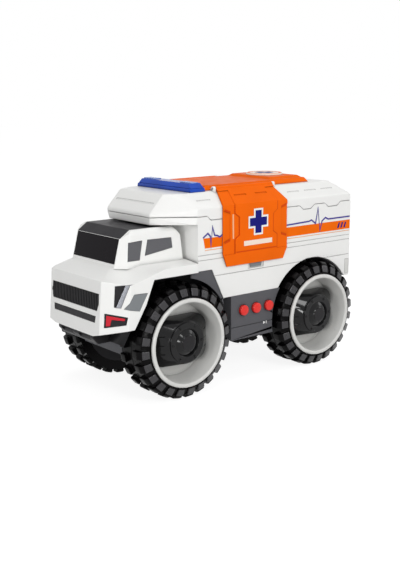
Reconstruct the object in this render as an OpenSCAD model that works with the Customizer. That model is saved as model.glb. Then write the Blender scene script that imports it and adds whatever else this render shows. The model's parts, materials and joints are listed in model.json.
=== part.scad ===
// Big-wheel toy ambulance truck with light, sound and a friction drive.
// The nose points along -Y, its left side along +X, and the tyres stand on z = 0.

/* [Stance] */
// From the front axle forward to the bumper face
front_overhang = 75; // [74:1:80]
// From the rear axle back to the tail
rear_overhang = 54; // [53:1:60]
// Width across the outer faces of the rims
track_w = 140; // [138:1:150]
// Wall of the moulded shells
wall = 2; // [1.6:0.1:2.4]

/* [Wheels] */
// Diameter over the tread lugs
tyre_d = 103; // [98:1:106]
// Width of the tread
tread_w = 28; // [24:0.5:29]
// Width of the smooth band between the two rows of lugs
lug_band = 12; // [8:0.5:14]
// From the rim face back to the tyre shoulder
shoulder_set = 6.7; // [5:0.1:8]
// Height of a tread lug
lug_h = 3.6; // [2:0.1:4.5]
// Lugs in one row of the tread
lug_count = 24; // [18:1:30]
// Height of the tyre's sidewall, tread lugs included
sidewall_h = 11.5; // [9.5:0.1:14]
// Radial width of the rim's outer ring
rim_lip_w = 3.8; // [3:0.1:5]
// Depth of the dished rim
rim_depth = 22; // [20:0.5:23]
// Gap between the ends of the hub block and the rim
hub_gap = 3.2; // [2.5:0.1:5]
// How much lower than long the hub block is
hub_waist = 17; // [12:0.5:22]
// Diameter of the round face of the hub
hub_face_d = 39; // [34:1:42]
// From the rim face back to the round face of the hub
hub_set = 3.4; // [2:0.1:5]
// Diameter of the hub's centre cap
cap_d = 15; // [12:0.5:18]
// Diameter of the axle rods
axle_d = 5; // [4:0.1:6]
// Outer diameter of the axle bushes
bush_d = 9; // [8:0.1:10]
// Gap between a rim's boss and the bush beside it
hub_play = 4.3; // [2:0.1:6]

/* [Chassis] */
// Gap between a tyre and the walls beside it, or the chassis ahead of it
wheel_gap = 2.3; // [2:0.1:3]
// Gap between a front tyre and the side panel behind it
panel_set = 5.9; // [4:0.1:7]
// Diameter of a case screw's head
screw_head_d = 5.6; // [5:0.1:6]

/* [Sound] */
// Front of the side panel back to the first button
button_margin = 14.6; // [13:0.1:18]
// Diameter of a push button
button_d = 9.6; // [8:0.1:10]
// Distance between neighbouring buttons
button_pitch = 15.8; // [14:0.1:16]
// How far a button goes in
button_travel = 1.2; // [0.8:0.1:1.5]
// How far a button stands out of the panel
button_stand = 2.4; // [1.5:0.1:3]
// Diameter of the loudspeaker
speaker_d = 29; // [24:0.5:30]
// Diameter of a battery cell
cell_d = 14.5; // [13.5:0.1:14.5]
// Length of a battery cell
cell_l = 50.5; // [44:0.5:50.5]

/* [Drive] */
// Module of the friction drive's gears
gear_m = 0.8; // [0.7:0.01:0.82]
// Diameter of the flywheel
flywheel_d = 24; // [18:0.5:25]
// Thickness of the flywheel
flywheel_t = 8; // [5:0.5:10]
// Room between the flywheel and the floor of the load space
flywheel_gap = 1.8; // [1:0.1:3]
// Room between the axle's gear and the bottom of the chassis
gear_room = 1.1; // [0.6:0.1:2]

/* [Cab] */
// Length of the cab, bumper to back
cab_l = 92; // [90:0.5:96]
// Width across the front wings
wing_w = 123; // [119:1:127]
// Width of the flat nose
nose_w = 82; // [78:1:86]
// Width of the bumper's lower edge
chin_w = 62; // [56:1:68]
// How far the wings sweep back from the nose
nose_sweep = 16; // [14:0.5:18]
// Bumper's lower edge above the axle
bumper_up = 11.6; // [10:0.1:14]
// Lower corner of a wing above the axle
wing_low_up = 19; // [17:0.1:22]
// Height of the wing over the top of its arch
wing_rim_h = 8; // [6:0.1:9]
// Rise of the body from the wing edge to the window line
wing_rise = 2; // [1:0.1:4]
// Drop of the bonnet's front edge below the wing edge
bonnet_drop = 7.2; // [5:0.1:9]
// Lean of the grille face
nose_lean = 3.8; // [2:0.1:6]
// Drop of a wing's front corner below the bonnet's front edge
wing_fall = 2.4; // [1:0.1:4]
// Rise of a wing's edge behind that corner, per millimetre
wing_climb = 0.26; // [0.2:0.01:0.34]
// Bumper face back to the foot of the windscreen
screen_foot = 22; // [20:0.5:25]
// Lean of the windscreen
screen_lean = 6; // [4:0.5:8]
// Bumper face back to the front of the cab roof
brow_back = 38; // [36:0.5:41]
// Drop from the cab roof to the top of the windscreen
brow_drop = 7; // [5:0.5:9]
// Width of the cab at the window line
cabin_w = 84; // [80:1:88]
// Lean of the cab's sides towards its roof
cabin_lean = 5.5; // [4:0.1:7]
// Width of a pillar beside the windscreen
pillar_w = 9; // [8:0.1:11]
// Gap between the cab roof and the body over it
roof_gap = 1.5; // [1:0.1:3]
// Depth of the lamps, grilles and windows let into the cab
inlay_t = 1.2; // [0.8:0.1:1.4]

/* [Body] */
// Width of the body over its side walls
box_w = 115; // [112:1:117]
// Gap between the cab and the body
cab_gap = 2.5; // [1.5:0.1:4]
// Height of the side wall, from the chassis to the seam
box_wall_h = 76.2; // [74:0.1:80]
// Seam up to the crease of the roof
crease_up = 7; // [6:0.1:9]
// Crease up to the flat of the roof
roof_rise = 12.5; // [11:0.1:14]
// Width of the flat of the roof
roof_w = 84; // [82:1:90]
// How far the front of the roof reaches over the cab
luton_reach = 34.5; // [31:0.5:37]
// Width of the front of that overhang
luton_w = 67; // [62:1:72]
// Height of the overhang below the seam
luton_chin_h = 6.7; // [5:0.1:8]
// Lean of the overhang's front
luton_lean = 15; // [12:0.5:18]
// Lean of the roof's tail
tail_lean = 16; // [12:0.5:20]
// Depth of the steps in the seam
seam_step = 3.8; // [2:0.1:5]
// Radius of a rear wheel arch beyond the tyre
arch_gap = 4; // [3:0.1:5]

/* [Doors] */
// Width of a side door
door_w = 79; // [74:1:82]
// Body front back to a door's front edge
door_back = 27.7; // [26:0.1:31]
// Height of a door's lower edge above the chassis
door_up = 28.4; // [27:0.1:32]
// Thickness of a door
door_t = 2.2; // [1.8:0.1:2.6]
// Taper of a door towards the roof, at each side
door_taper = 5; // [4:0.1:7]
// Diameter of a hinge pin
pin_d = 1.6; // [1.2:0.1:1.8]
// Diameter of a hinge barrel
barrel_d = 3.8; // [3.6:0.1:4.6]

/* [Roof fittings] */
// Width of the light bar
bar_w = 80; // [70:1:82]
// Depth of the light bar
bar_l = 17; // [14:0.5:19]
// Height of the light bar
bar_h = 7.7; // [6.5:0.1:9]
// Body front back to the light bar
bar_back = 5; // [4:0.1:8]
// From the edge of the flat roof in to the roof plate
plate_in = 6; // [5.5:0.1:9]
// Length of the roof plate
plate_l = 134; // [126:1:138]
// Height of the roof plate
plate_h = 4.5; // [3:0.1:5.5]
// Height of the raised pad on the plate
pad_h = 2.2; // [1.5:0.1:3]
// Length of the raised pad
pad_l = 45; // [42:1:50]
// Height of the badge disc
badge_h = 1.6; // [1:0.1:2.4]

/* [Hidden] */
$fn = 64;

// Colours, as the toy shows them
white = "#f1f1ef";
orange = "#ee6f22";
dark_grey = "#55565a";
mid_grey = "#83878a";
light_grey = "#c9c9c6";
gloss_black = "#221d22";
soft_black = "#2b2a2c";
roof_grey = "#4a4a4d";
red = "#e23a30";
silver = "#aeb0b6";
blue = "#1b48a8";
cream = "#f3dcc8";

// Clearances: a running fit, a loose fit and an overrun for cuts
run_gap = 0.05;
part_gap = 0.3;
inlay_gap = 0.12;
over = 1;

// Gear train of the friction drive, which sets the height of the chassis
big_teeth = 18;
small_teeth = 10;
mesh_r = gear_m * (big_teeth + small_teeth) / 2;
compound_angle = 135;
flywheel_angle = 120;
tip_share = 0.75;
root_share = 1.1;
flywheel_up = mesh_r * (sin(compound_angle) + sin(flywheel_angle));
pan_drop = gear_m * (big_teeth / 2 + tip_share) + gear_room + wall;
pan_h = pan_drop + flywheel_up + flywheel_d / 2 + flywheel_gap;

// Heights, built up from the ground
tyre_r = tyre_d / 2;
axle_z = tyre_r;
pan_z = axle_z - pan_drop;
floor_z = pan_z + wall;
skirt_z = pan_z + pan_h;
seam_z = skirt_z + box_wall_h;
crease_z = seam_z + crease_up;
roof_z = crease_z + roof_rise;
luton_z = seam_z - luton_chin_h;
cabin_roof_z = luton_z - roof_gap;

// Buttons in the left panel, the last one close ahead of the rear wheel
button_up = 27.6;
flange_w = 0.8;
well_r = tyre_r + wheel_gap;
flange_reach = well_r + wall + part_gap + button_d / 2 + flange_w;
button_reach = sqrt(pow(flange_reach, 2) - pow(button_up - pan_drop, 2));

// Places along the truck
wheelbase = tyre_r + panel_set + button_margin + 2 * button_pitch + button_reach;
length = front_overhang + wheelbase + rear_overhang;
front_y = -length / 2;
tail_y = length / 2;
front_axle_y = front_y + front_overhang;
rear_axle_y = front_axle_y + wheelbase;
cab_back_y = front_y + cab_l;
box_front_y = cab_back_y + cab_gap;
lamp_proud = 0.8;
box_back_y = tail_y - lamp_proud;

// Outline of a front arch round its wheel, as shares of the tyre radius
arch_shares = [[-1.17, 0.1], [-0.765, 0.76], [-0.6, 1.15], [0.69, 1.15], [0.945, 0.614], [1.03, 0.1]];
arch_top_z = axle_z + arch_shares[2][1] * tyre_r;
rim_face_x = track_w / 2;
dish_x = rim_face_x - rim_depth;
shoulder_x = rim_face_x - shoulder_set;
tread_in_x = shoulder_x - tread_w;
boss_l = 7;
bush_flange_t = 1.2;
well_x = tread_in_x - wheel_gap;
spine_x = well_x - wall - part_gap;
boss_in_x = spine_x + bush_flange_t + hub_play;
rear_arch_r = tyre_r + arch_gap;

// Extrudes an outline drawn in Y and Z along X
module along_x(from, to) {
    translate([from, 0, 0])
        rotate([90, 0, 90])
            linear_extrude(height = to - from) children();
}

// Extrudes an outline drawn in X and Z along Y
module along_y(from, to) {
    translate([0, to, 0])
        rotate([90, 0, 0])
            linear_extrude(height = to - from) children();
}

// Turns an outline drawn in radius and X about the X axis
module turned_x() {
    rotate([0, 90, 0])
        rotate_extrude() children();
}

// A round rod or bore along X
module rod_x(d, from, to) {
    translate([from, 0, 0])
        rotate([0, 90, 0])
            cylinder(d = d, h = to - from);
}

// A round rod or bore along Y
module rod_y(d, from, to) {
    translate([0, from, 0])
        rotate([-90, 0, 0])
            cylinder(d = d, h = to - from);
}

// A box given by its two corners
module box(low, high) {
    translate(low) cube(high - low);
}

// The same piece on both sides of the truck
module both_sides() {
    children();
    mirror([1, 0, 0]) children();
}

// The convex solid through a list of points
module through(points) {
    hull() polyhedron(points = points, faces = [for (i = [1 : len(points) - 2]) [0, i, i + 1]]);
}

// Points of an outline, from shares of a box that starts at one corner
function share_points(corner, size, shares) = [
    for (s = shares) [corner[0] + s[0] * size[0], corner[1] + s[1] * size[1]]
];
function mirrored(points) = concat(
    points, [for (i = [len(points) - 1 : -1 : 0]) [-points[i][0], points[i][1]]]
);

// Wheels

lip_t = 3;
rim_d = tyre_d - 2 * sidewall_h;
bead_h = 2;
barrel_r = rim_d / 2 - bead_h;
barrel_in_r = rim_d / 2 - rim_lip_w;
boss_d = 12;
tread_r = tyre_r - lug_h;
axle_end_x = dish_x + boss_l;

// Tyre carcass, with the sidewall swelling out to the rim
tyre_bead = 0.8;
mould_line = 0.4;
middle_x = (shoulder_x + tread_in_x) / 2;
module tyre_section() {
    bead_x = rim_face_x - lip_t - part_gap;
    polygon([
        [barrel_r + inlay_gap, tread_in_x],
        [tread_r, tread_in_x],
        [tread_r, middle_x - mould_line],
        [tread_r + mould_line, middle_x],
        [tread_r, middle_x + mould_line],
        [tread_r, shoulder_x],
        [(tread_r + rim_d / 2) / 2, (shoulder_x + bead_x) / 2 + tyre_bead],
        [rim_d / 2 + tyre_bead, bead_x],
        [barrel_r + inlay_gap, bead_x]
    ]);
}

// One lug, wrapped over the shoulder on the outer row
lug_foot = 1.5;
lug_angle_share = 0.56;
module outer_lug_section() {
    polygon([
        [tread_r - lug_foot, middle_x + lug_band / 2],
        [tyre_r, middle_x + lug_band / 2],
        [tyre_r, shoulder_x - lug_foot],
        [tyre_r - lug_foot, shoulder_x + lug_foot],
        [tread_r - lug_h, shoulder_x + lug_h],
        [tread_r - lug_h - lug_foot, shoulder_x + lug_h - lug_foot],
        [tread_r - lug_foot, shoulder_x - lug_foot]
    ]);
}

module inner_lug_section() {
    polygon([
        [tread_r - lug_foot, tread_in_x + lug_foot],
        [tyre_r - lug_foot, tread_in_x],
        [tyre_r, tread_in_x + lug_foot],
        [tyre_r, middle_x - lug_band / 2],
        [tread_r - lug_foot, middle_x - lug_band / 2]
    ]);
}

module lug_row(turn) {
    pitch = 360 / lug_count;
    for (i = [0 : lug_count - 1])
        rotate([(i + turn) * pitch, 0, 0])
            rotate([0, 90, 0])
                rotate_extrude(angle = pitch * lug_angle_share) children();
}

module tyre() {
    color(soft_black) {
        turned_x() tyre_section();
        lug_row(0) outer_lug_section();
        lug_row(0.5) inner_lug_section();
    }
}

// Dished rim: ring, tapered barrel, floor and axle boss
dish_taper = 3;
module rim() {
    color(light_grey)
        turned_x()
            polygon([
                [axle_d / 2, boss_in_x],
                [boss_d / 2, boss_in_x],
                [boss_d / 2, dish_x - wall],
                [barrel_r - wall, dish_x - wall],
                [barrel_r - wall, tread_in_x + part_gap],
                [barrel_r, tread_in_x + part_gap],
                [barrel_r, rim_face_x - lip_t],
                [rim_d / 2, rim_face_x - lip_t],
                [rim_d / 2, rim_face_x - lip_t / 3],
                [rim_d / 2 - lip_t / 3, rim_face_x],
                [barrel_in_r + lip_t / 3, rim_face_x],
                [barrel_in_r, rim_face_x - lip_t / 3],
                [barrel_in_r - dish_taper, dish_x],
                [boss_d / 2, dish_x],
                [boss_d / 2, axle_end_x],
                [axle_d / 2, axle_end_x]
            ]);
}

// Hub block, blended from a wide rounded block up to a round face
hub_l = 2 * (barrel_in_r - dish_taper - hub_gap);
hub_h = hub_l - hub_waist;
hub_corner = 12;
hub_foot = 7;
hub_face_t = 1.6;
module hub_block(inset) {
    hull() {
        for (sy = [-1, 1], sz = [-1, 1])
            translate([0, sy * (hub_l / 2 - hub_corner), sz * (hub_h / 2 - hub_corner)])
                rod_x(2 * (hub_corner - inset), dish_x - (inset > 0 ? over : 0), dish_x + hub_foot, $fn = 32);
        rod_x(hub_face_d - 2 * inset, dish_x + hub_foot, rim_face_x - hub_set - hub_face_t - inset, $fn = 32);
    }
}

hub_ring_share = 0.64;
hub_bolts = 6;
hub_bolt_d = 2.4;
cone_step = 0.8;
hub_line = 0.8;
hub_line_pitch = 8;
module hub() {
    face_x = rim_face_x - hub_set;
    back_x = face_x - hub_face_t;
    cap_x = rim_face_x - hub_set / 2;
    cone_r = hub_face_d * hub_ring_share / 2;
    color(soft_black) {
        difference() {
            hub_block(0);
            hub_block(wall);
            // Lines across both ends of the block
            difference() {
                for (i = [-1 : 1])
                    translate([dish_x + hub_foot, 0, i * hub_line_pitch])
                        cube([2 * hub_foot, hub_l + over, hub_line], center = true);
                hub_block(hub_line);
                rod_x(hub_face_d, dish_x, face_x);
            }
        }
        difference() {
            rod_x(hub_face_d - wall, back_x - wall / 2, face_x);
            rod_x(hub_face_d * hub_ring_share, back_x, face_x + over);
        }
        turned_x()
            polygon([
                [0, back_x - wall / 2], [cone_r, back_x - wall / 2], [cone_r, back_x],
                [cap_d / 2 + cone_step, cap_x - cone_step], [cap_d / 2, cap_x - cone_step],
                [cap_d / 2 - cone_step, cap_x], [0, cap_x]
            ]);
        for (i = [0 : hub_bolts - 1])
            rotate([(i + 0.5) * 360 / hub_bolts, 0, 0])
                translate([0, 0, hub_face_d * (1 + hub_ring_share) / 4])
                    rod_x(hub_bolt_d, back_x, face_x + hub_set / 4);
    }
}

module at_front_axle() { translate([0, front_axle_y, axle_z]) children(); }
module at_rear_axle() { translate([0, rear_axle_y, axle_z]) children(); }
module on_right() { mirror([1, 0, 0]) children(); }

module axle_rod() { color(silver) rod_x(axle_d, -axle_end_x, axle_end_x); }

module front_axle() { at_front_axle() axle_rod(); }
module front_tyre_left() { at_front_axle() tyre(); }
module front_tyre_right() { at_front_axle() on_right() tyre(); }
module front_rim_left() { at_front_axle() rim(); }
module front_rim_right() { at_front_axle() on_right() rim(); }
module front_hub_left() { at_front_axle() hub(); }
module front_hub_right() { at_front_axle() on_right() hub(); }
module rear_axle() { at_rear_axle() axle_rod(); }
module rear_tyre_left() { at_rear_axle() tyre(); }
module rear_tyre_right() { at_rear_axle() on_right() tyre(); }
module rear_rim_left() { at_rear_axle() rim(); }
module rear_rim_right() { at_rear_axle() on_right() rim(); }
module rear_hub_left() { at_rear_axle() hub(); }
module rear_hub_right() { at_rear_axle() on_right() hub(); }

// Flanged bushes in the chassis walls
bush_flange_w = 2;
module bush() {
    difference() {
        union() {
            rod_x(bush_d, spine_x - 2 * wall, spine_x + part_gap);
            rod_x(bush_d + 2 * bush_flange_w, spine_x, spine_x + bush_flange_t);
        }
        rod_x(axle_d + 2 * run_gap, spine_x - 2 * wall - over, spine_x + bush_flange_t + over);
    }
}

module axle_bushes() {
    color(light_grey)
        both_sides() {
            at_front_axle() bush();
            at_rear_axle() bush();
        }
}

// Chassis

spine_front = 30;
spine_front_y = front_y + spine_front;
mid_front_y = front_axle_y + tyre_r + panel_set;
panel_proud = 0.5;
mid_w = box_w + 2 * panel_proud;
mid_back_share = 0.8;
mid_back_y = rear_axle_y - well_r * mid_back_share;

// Plan of the pan: a narrow spine and a wide middle behind the front wheels
module pan_block(inset, low, high) {
    box([-spine_x + inset, spine_front_y + inset, low], [spine_x - inset, box_back_y - wall - inset, high]);
    difference() {
        box([-mid_w / 2 + inset, mid_front_y + inset, low], [mid_w / 2 - inset, mid_back_y, high]);
        both_sides()
            at_rear_axle() rod_x(2 * (well_r + inset), spine_x - inset, box_w);
    }
}

// Places of the case screws, across and along the spine
screw_in = 8;
cab_screw_set = 22;
front_screw_set = 9.5;
middle_screw_set = 42;
rear_screw_set = 24;
screw_x = spine_x - screw_in;
cab_screw_y = front_axle_y - cab_screw_set;
floor_screw_ys = [
    box_front_y + front_screw_set, rear_axle_y - middle_screw_set, rear_axle_y + rear_screw_set
];
screw_ys = concat([cab_screw_y], floor_screw_ys);
screw_d = 2.8;
screw_l = 14;
screw_web = 1.5;
screw_cup_h = 4.5;
screw_play = 0.8;
screw_cup_d = screw_head_d + screw_play;
post_d = 7;
post_z = pan_z + screw_cup_h + screw_web;

// Posts that stand on the chassis over the screws, up to the given height
module posts(ys, top) {
    for (y = ys, side = [-1, 1])
        translate([side * screw_x, y, post_z]) cylinder(d = post_d, h = top - post_z);
}

module post_bores(ys) {
    for (y = ys, side = [-1, 1])
        translate([side * screw_x, y, post_z - over]) cylinder(d = screw_d, h = screw_l + over);
}

module screw_places() {
    for (y = screw_ys, side = [-1, 1])
        translate([side * screw_x, y, pan_z]) children();
}

// Battery bay between the wheels
cell_count = 3;
cell_gap = 0.7;
cell_pitch = cell_d + cell_gap;
cell_z = floor_z + cell_d / 2 - wall / 3;
bay_back = 26;
bay_play = 2;
bay_y = mid_front_y + bay_back;
bay_l = cell_pitch * (cell_count - 1) + cell_d + bay_play;
contact_t = 0.5;
contact_spring = 1.2;
contact_x = cell_l / 2 + contact_spring;
bay_w = 2 * (contact_x + contact_t);
ledge = 2.5;
bay_wall_h = cell_d - wall / 2;
door_screw_d = 2;
door_tab = 7;

// Loudspeaker ahead of the battery bay
speaker_set = 18;
speaker_y = mid_front_y - speaker_set;
speaker_h = 7;
speaker_ring = 1.5;
speaker_hole_d = 2.4;
speaker_hole_ring_share = 0.3;
speaker_cone_share = 0.7;

// Button caps, switches and their board
button_z = pan_z + button_up;
panel_x = mid_w / 2;
button_y = rear_axle_y - button_reach - button_pitch;
flange_t = 1.4;
stem_d = 4;
stem_l = 2;
switch_w = 6;
switch_h = 3.5;
plunger_d = 3;
plunger_h = 1;
board_t = 1.6;
board_h = 13;
flange_x = panel_x - wall - part_gap - flange_t;
plunger_x = flange_x - stem_l - button_travel - part_gap;
board_x = plunger_x - plunger_h - switch_h - board_t;
board_l = 2 * button_pitch + switch_w + 2 * part_gap;

panel_line_up = 12;
panel_line_z = pan_z + panel_line_up;
panel_line = 0.7;

module chassis_pan() {
    color(dark_grey)
        difference() {
            union() {
                difference() {
                    pan_block(0, pan_z, skirt_z);
                    pan_block(wall, floor_z, skirt_z + over);
                }
                screw_places() cylinder(d = screw_cup_d + 2 * wall, h = screw_cup_h + screw_web);
                // Walls of the battery bay
                for (side = [-1, 1])
                    translate([side * (bay_w / 2 + wall / 2), bay_y, floor_z + bay_wall_h / 2])
                        cube([wall, bay_l, bay_wall_h], center = true);
                // Ring that holds the loudspeaker
                translate([0, speaker_y, pan_z])
                    difference() {
                        cylinder(d = speaker_d + 2 * (speaker_ring + inlay_gap), h = wall + speaker_h / 2);
                        translate([0, 0, wall]) cylinder(d = speaker_d + 2 * inlay_gap, h = speaker_h);
                    }
                // Shelf under the button board
                box([board_x, button_y - board_l / 2, pan_z],
                    [board_x + board_t + wall, button_y + board_l / 2, button_z - board_h / 2]);
                // Bearing blocks round the axle bushes
                both_sides() {
                    at_front_axle() rod_x(bush_d + 2 * wall, spine_x - 2 * wall, spine_x - wall / 2);
                    at_rear_axle() rod_x(bush_d + 2 * wall, spine_x - 2 * wall, spine_x - wall / 2);
                }
            }
            screw_places() {
                translate([0, 0, -over]) cylinder(d = screw_cup_d, h = screw_cup_h + over);
                cylinder(d = screw_d + 2 * inlay_gap, h = screw_cup_h + screw_web + over);
            }
            both_sides() {
                at_front_axle() rod_x(bush_d, spine_x - 2 * wall - over, spine_x + over);
                at_rear_axle() rod_x(bush_d, spine_x - 2 * wall - over, spine_x + over);
            }
            // Battery opening with a ledge for its door
            translate([0, bay_y, pan_z]) {
                cube([bay_w, bay_l, 4 * wall], center = true);
                cube([bay_w + 2 * ledge, bay_l + 2 * ledge, wall], center = true);
            }
            translate([0, bay_y + bay_l / 2 + ledge + door_tab / 2, pan_z]) {
                cube([2 * door_tab, door_tab + over, wall], center = true);
                cylinder(d = door_screw_d, h = wall + over);
            }
            // Sound holes
            translate([0, speaker_y, pan_z - over]) {
                cylinder(d = speaker_hole_d, h = wall + 2 * over);
                for (i = [0 : 5])
                    rotate([0, 0, i * 60])
                        translate([speaker_d * speaker_hole_ring_share, 0, 0])
                            cylinder(d = speaker_hole_d, h = wall + 2 * over);
            }
            // Button bores
            for (i = [-1 : 1])
                translate([0, button_y + i * button_pitch, button_z])
                    rod_x(button_d + 4 * run_gap, panel_x - wall - over, panel_x + over);
            // Moulded line low on the side panels
            both_sides()
                box([panel_x - panel_line, mid_front_y - over, panel_line_z],
                    [panel_x + over, rear_axle_y, panel_line_z + panel_line]);
        }
}

module cell_row() {
    for (i = [0 : cell_count - 1])
        translate([0, bay_y + (i - (cell_count - 1) / 2) * cell_pitch, cell_z]) children();
}

contact_share = 0.7;
cell_nub_d = 5.4;
cell_nub_h = 1;
module battery_cells() {
    color(silver)
        cell_row() {
            rod_x(cell_d, -cell_l / 2, cell_l / 2 - cell_nub_h);
            rod_x(cell_nub_d, -cell_l / 2, cell_l / 2);
        }
}

module battery_contacts() {
    plate = cell_d * contact_share;
    color(light_grey)
        both_sides()
            cell_row() {
                translate([contact_x + contact_t / 2, 0, 0]) cube([contact_t, plate, plate], center = true);
                rod_x(cell_nub_d, cell_l / 2 + inlay_gap, contact_x + contact_t / 2);
            }
}

module battery_door() {
    play = 2 * inlay_gap;
    color(dark_grey)
        difference() {
            translate([0, bay_y, pan_z]) {
                translate([0, 0, wall / 4])
                    cube([bay_w + 2 * ledge - play, bay_l + 2 * ledge - play, wall / 2], center = true);
                translate([0, bay_l / 2 + ledge + door_tab / 2 - play, wall / 4])
                    cube([2 * door_tab - play, door_tab, wall / 2], center = true);
            }
            translate([0, bay_y + bay_l / 2 + ledge + door_tab / 2, pan_z - over])
                cylinder(d = door_screw_d + 2 * inlay_gap, h = wall + 2 * over);
        }
}

module battery_door_screw() {
    color(silver)
        translate([0, bay_y + bay_l / 2 + ledge + door_tab / 2, pan_z]) {
            translate([0, 0, -wall / 2]) cylinder(d = 2 * door_screw_d, h = wall / 2);
            translate([0, 0, -wall / 4]) cylinder(d = door_screw_d - 2 * run_gap, h = 3 * wall);
        }
}

module case_screws() {
    color(silver)
        screw_places() {
            translate([0, 0, screw_cup_h - wall]) cylinder(d = screw_head_d, h = wall);
            translate([0, 0, screw_cup_h - wall / 2]) cylinder(d = screw_d, h = screw_l);
        }
}

module speaker() {
    color(soft_black)
        translate([0, speaker_y, floor_z]) {
            cylinder(d = speaker_d, h = speaker_h / 3);
            cylinder(d1 = speaker_d, d2 = speaker_d / 2, h = speaker_h * speaker_cone_share);
            cylinder(d = speaker_d / 2, h = speaker_h);
        }
}

module button_board() {
    color("#2f6b3f")
        translate([0, button_y, button_z]) {
            box([board_x, -board_l / 2, -board_h / 2], [board_x + board_t, board_l / 2, board_h / 2]);
            for (i = [-1 : 1])
                translate([board_x + board_t, i * button_pitch, 0]) {
                    box([-board_t / 4, -switch_w / 2, -switch_w / 2], [switch_h, switch_w / 2, switch_w / 2]);
                    rod_x(plunger_d, 0, switch_h + plunger_h);
                }
        }
}

button_dome_share = 0.45;
module button(place) {
    color(red)
        translate([0, button_y + place * button_pitch, button_z]) {
            turned_x()
                polygon(concat(
                    [[0, flange_x], [button_d / 2 + flange_w, flange_x],
                     [button_d / 2 + flange_w, flange_x + flange_t], [button_d / 2, flange_x + flange_t]],
                    [for (a = [0 : 15 : 90])
                        let (rise = 1 - button_dome_share * (1 - sin(a)))
                            [button_d / 2 * cos(a), panel_x + button_stand * rise]]
                ));
            rod_x(stem_d, flange_x - stem_l, flange_x + flange_t / 2);
        }
}

module button_front() { button(-1); }
module button_middle() { button(0); }
module button_rear() { button(1); }

// Friction drive on the rear axle

gear_w = 4.5;
shaft_d = 3;
frame_x = 12;
frame_w = 16;
frame_wide = 26;
// A tooth's corners: share of its height, then share of the pitch to each side
tooth_shares = [[0, -0.2], [1, -0.1], [1, 0.1], [0, 0.2]];
compound_at = [rear_axle_y + mesh_r * cos(compound_angle), axle_z + mesh_r * sin(compound_angle)];
flywheel_at = compound_at + mesh_r * [cos(flywheel_angle), sin(flywheel_angle)];

// Spur gear outline in Y and Z, with one tooth at the given angle
module gear_outline(teeth, angle) {
    pitch = 360 / teeth;
    tip = gear_m * (teeth / 2 + tip_share);
    root = gear_m * (teeth / 2 - root_share);
    polygon([
        for (i = [0 : teeth - 1], k = tooth_shares)
            let (a = angle + (i + k[1]) * pitch, r = root + (tip - root) * k[0]) [r * cos(a), r * sin(a)]
    ]);
}

module at_compound() { translate([0, compound_at[0], compound_at[1]]) children(); }
module at_flywheel() { translate([0, flywheel_at[0], flywheel_at[1]]) children(); }

module axle_gear() {
    color(cream)
        at_rear_axle()
            difference() {
                along_x(gear_w / 2, gear_w * 1.5) gear_outline(big_teeth, compound_angle);
                rod_x(axle_d, 0, gear_w * 2);
            }
}

module compound_gear() {
    color(cream)
        at_compound()
            difference() {
                union() {
                    along_x(-gear_w * 0.2, gear_w * 1.6)
                        gear_outline(small_teeth, compound_angle + 180 + 180 / small_teeth);
                    along_x(-gear_w * 1.2, -gear_w * 0.2) gear_outline(big_teeth, flywheel_angle);
                }
                rod_x(shaft_d + 2 * run_gap, -gear_w * 2, gear_w * 2);
            }
}

module compound_pin() {
    color(silver) at_compound() rod_x(shaft_d, -frame_x, frame_x);
}

module flywheel() {
    color(silver)
        at_flywheel() {
            rod_x(shaft_d, -frame_x, frame_x + part_gap + flywheel_t);
            along_x(-gear_w * 1.3, -gear_w * 0.3)
                gear_outline(small_teeth, flywheel_angle + 180 + 180 / small_teeth);
            rod_x(flywheel_d, frame_x + part_gap, frame_x + part_gap + flywheel_t);
        }
}

// Two bearing plates on a foot, open round the axle
module gearbox_frame() {
    top_z = flywheel_at[1] + shaft_d + wall;
    color(mid_grey)
        difference() {
            union() {
                both_sides()
                    box([frame_x - wall, flywheel_at[0] - frame_w / 2, floor_z],
                        [frame_x, rear_axle_y - axle_d - wall, top_z]);
                box([-frame_x, flywheel_at[0] - frame_w / 2, floor_z],
                    [frame_x, flywheel_at[0] - frame_w / 2 + wall, top_z]);
            }
            at_compound() rod_x(shaft_d, -frame_wide, frame_wide);
            at_flywheel() rod_x(shaft_d + 2 * run_gap, -frame_wide, frame_wide);
        }
}

// Cab

wing_z = arch_top_z + wing_rim_h;
belt_z = wing_z + wing_rise;
bonnet_z = wing_z - bonnet_drop;
bumper_z = axle_z + bumper_up;
wing_low_z = axle_z + wing_low_up;
bonnet_y = front_y + nose_lean;
screen_y = front_y + screen_foot;
screen_top_y = screen_y + screen_lean;
brow_y = front_y + brow_back;
screen_top_z = cabin_roof_z - brow_drop;
cabin_set = 3;
cabin_back_y = cab_back_y - cabin_set;
cabin_h = cabin_roof_z - belt_z;
cabin_roof_w = cabin_w - 2 * cabin_lean;
screen_w = cabin_w - 2 * pillar_w;
shoulder_drop = 4;

module lower_side(low) {
    polygon([
        [front_y, bumper_z - low], [bonnet_y, bonnet_z], [screen_y, belt_z],
        [cab_back_y, belt_z], [cab_back_y, bumper_z - low]
    ]);
}

module lower_front(low) {
    polygon(mirrored([
        [chin_w / 2, bumper_z - low], [wing_w / 2, wing_low_z - low],
        [wing_w / 2, wing_z], [cabin_w / 2, belt_z]
    ]));
}

// Plan of the nose, measured back from the bumper face
module lower_plan() {
    polygon(mirrored([
        [nose_w / 2, 0], [wing_w / 2, nose_sweep], [wing_w / 2, 2 * cab_l]
    ]));
}

// Bonnet, nose and wings, each outline drawn in by the inset
nose_angle = atan2(nose_lean, bonnet_z - bumper_z);
module lower_cab(inset, low) {
    intersection() {
        along_x(-wing_w, wing_w) offset(delta = -inset) lower_side(low);
        along_y(front_y - over, cab_back_y + over) offset(delta = -inset) lower_front(low);
        translate([0, front_y, bumper_z])
            rotate([-nose_angle, 0, 0])
                linear_extrude(height = 2 * roof_z, center = true) offset(delta = -inset) lower_plan();
        both_wings_under(inset);
    }
}

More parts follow.
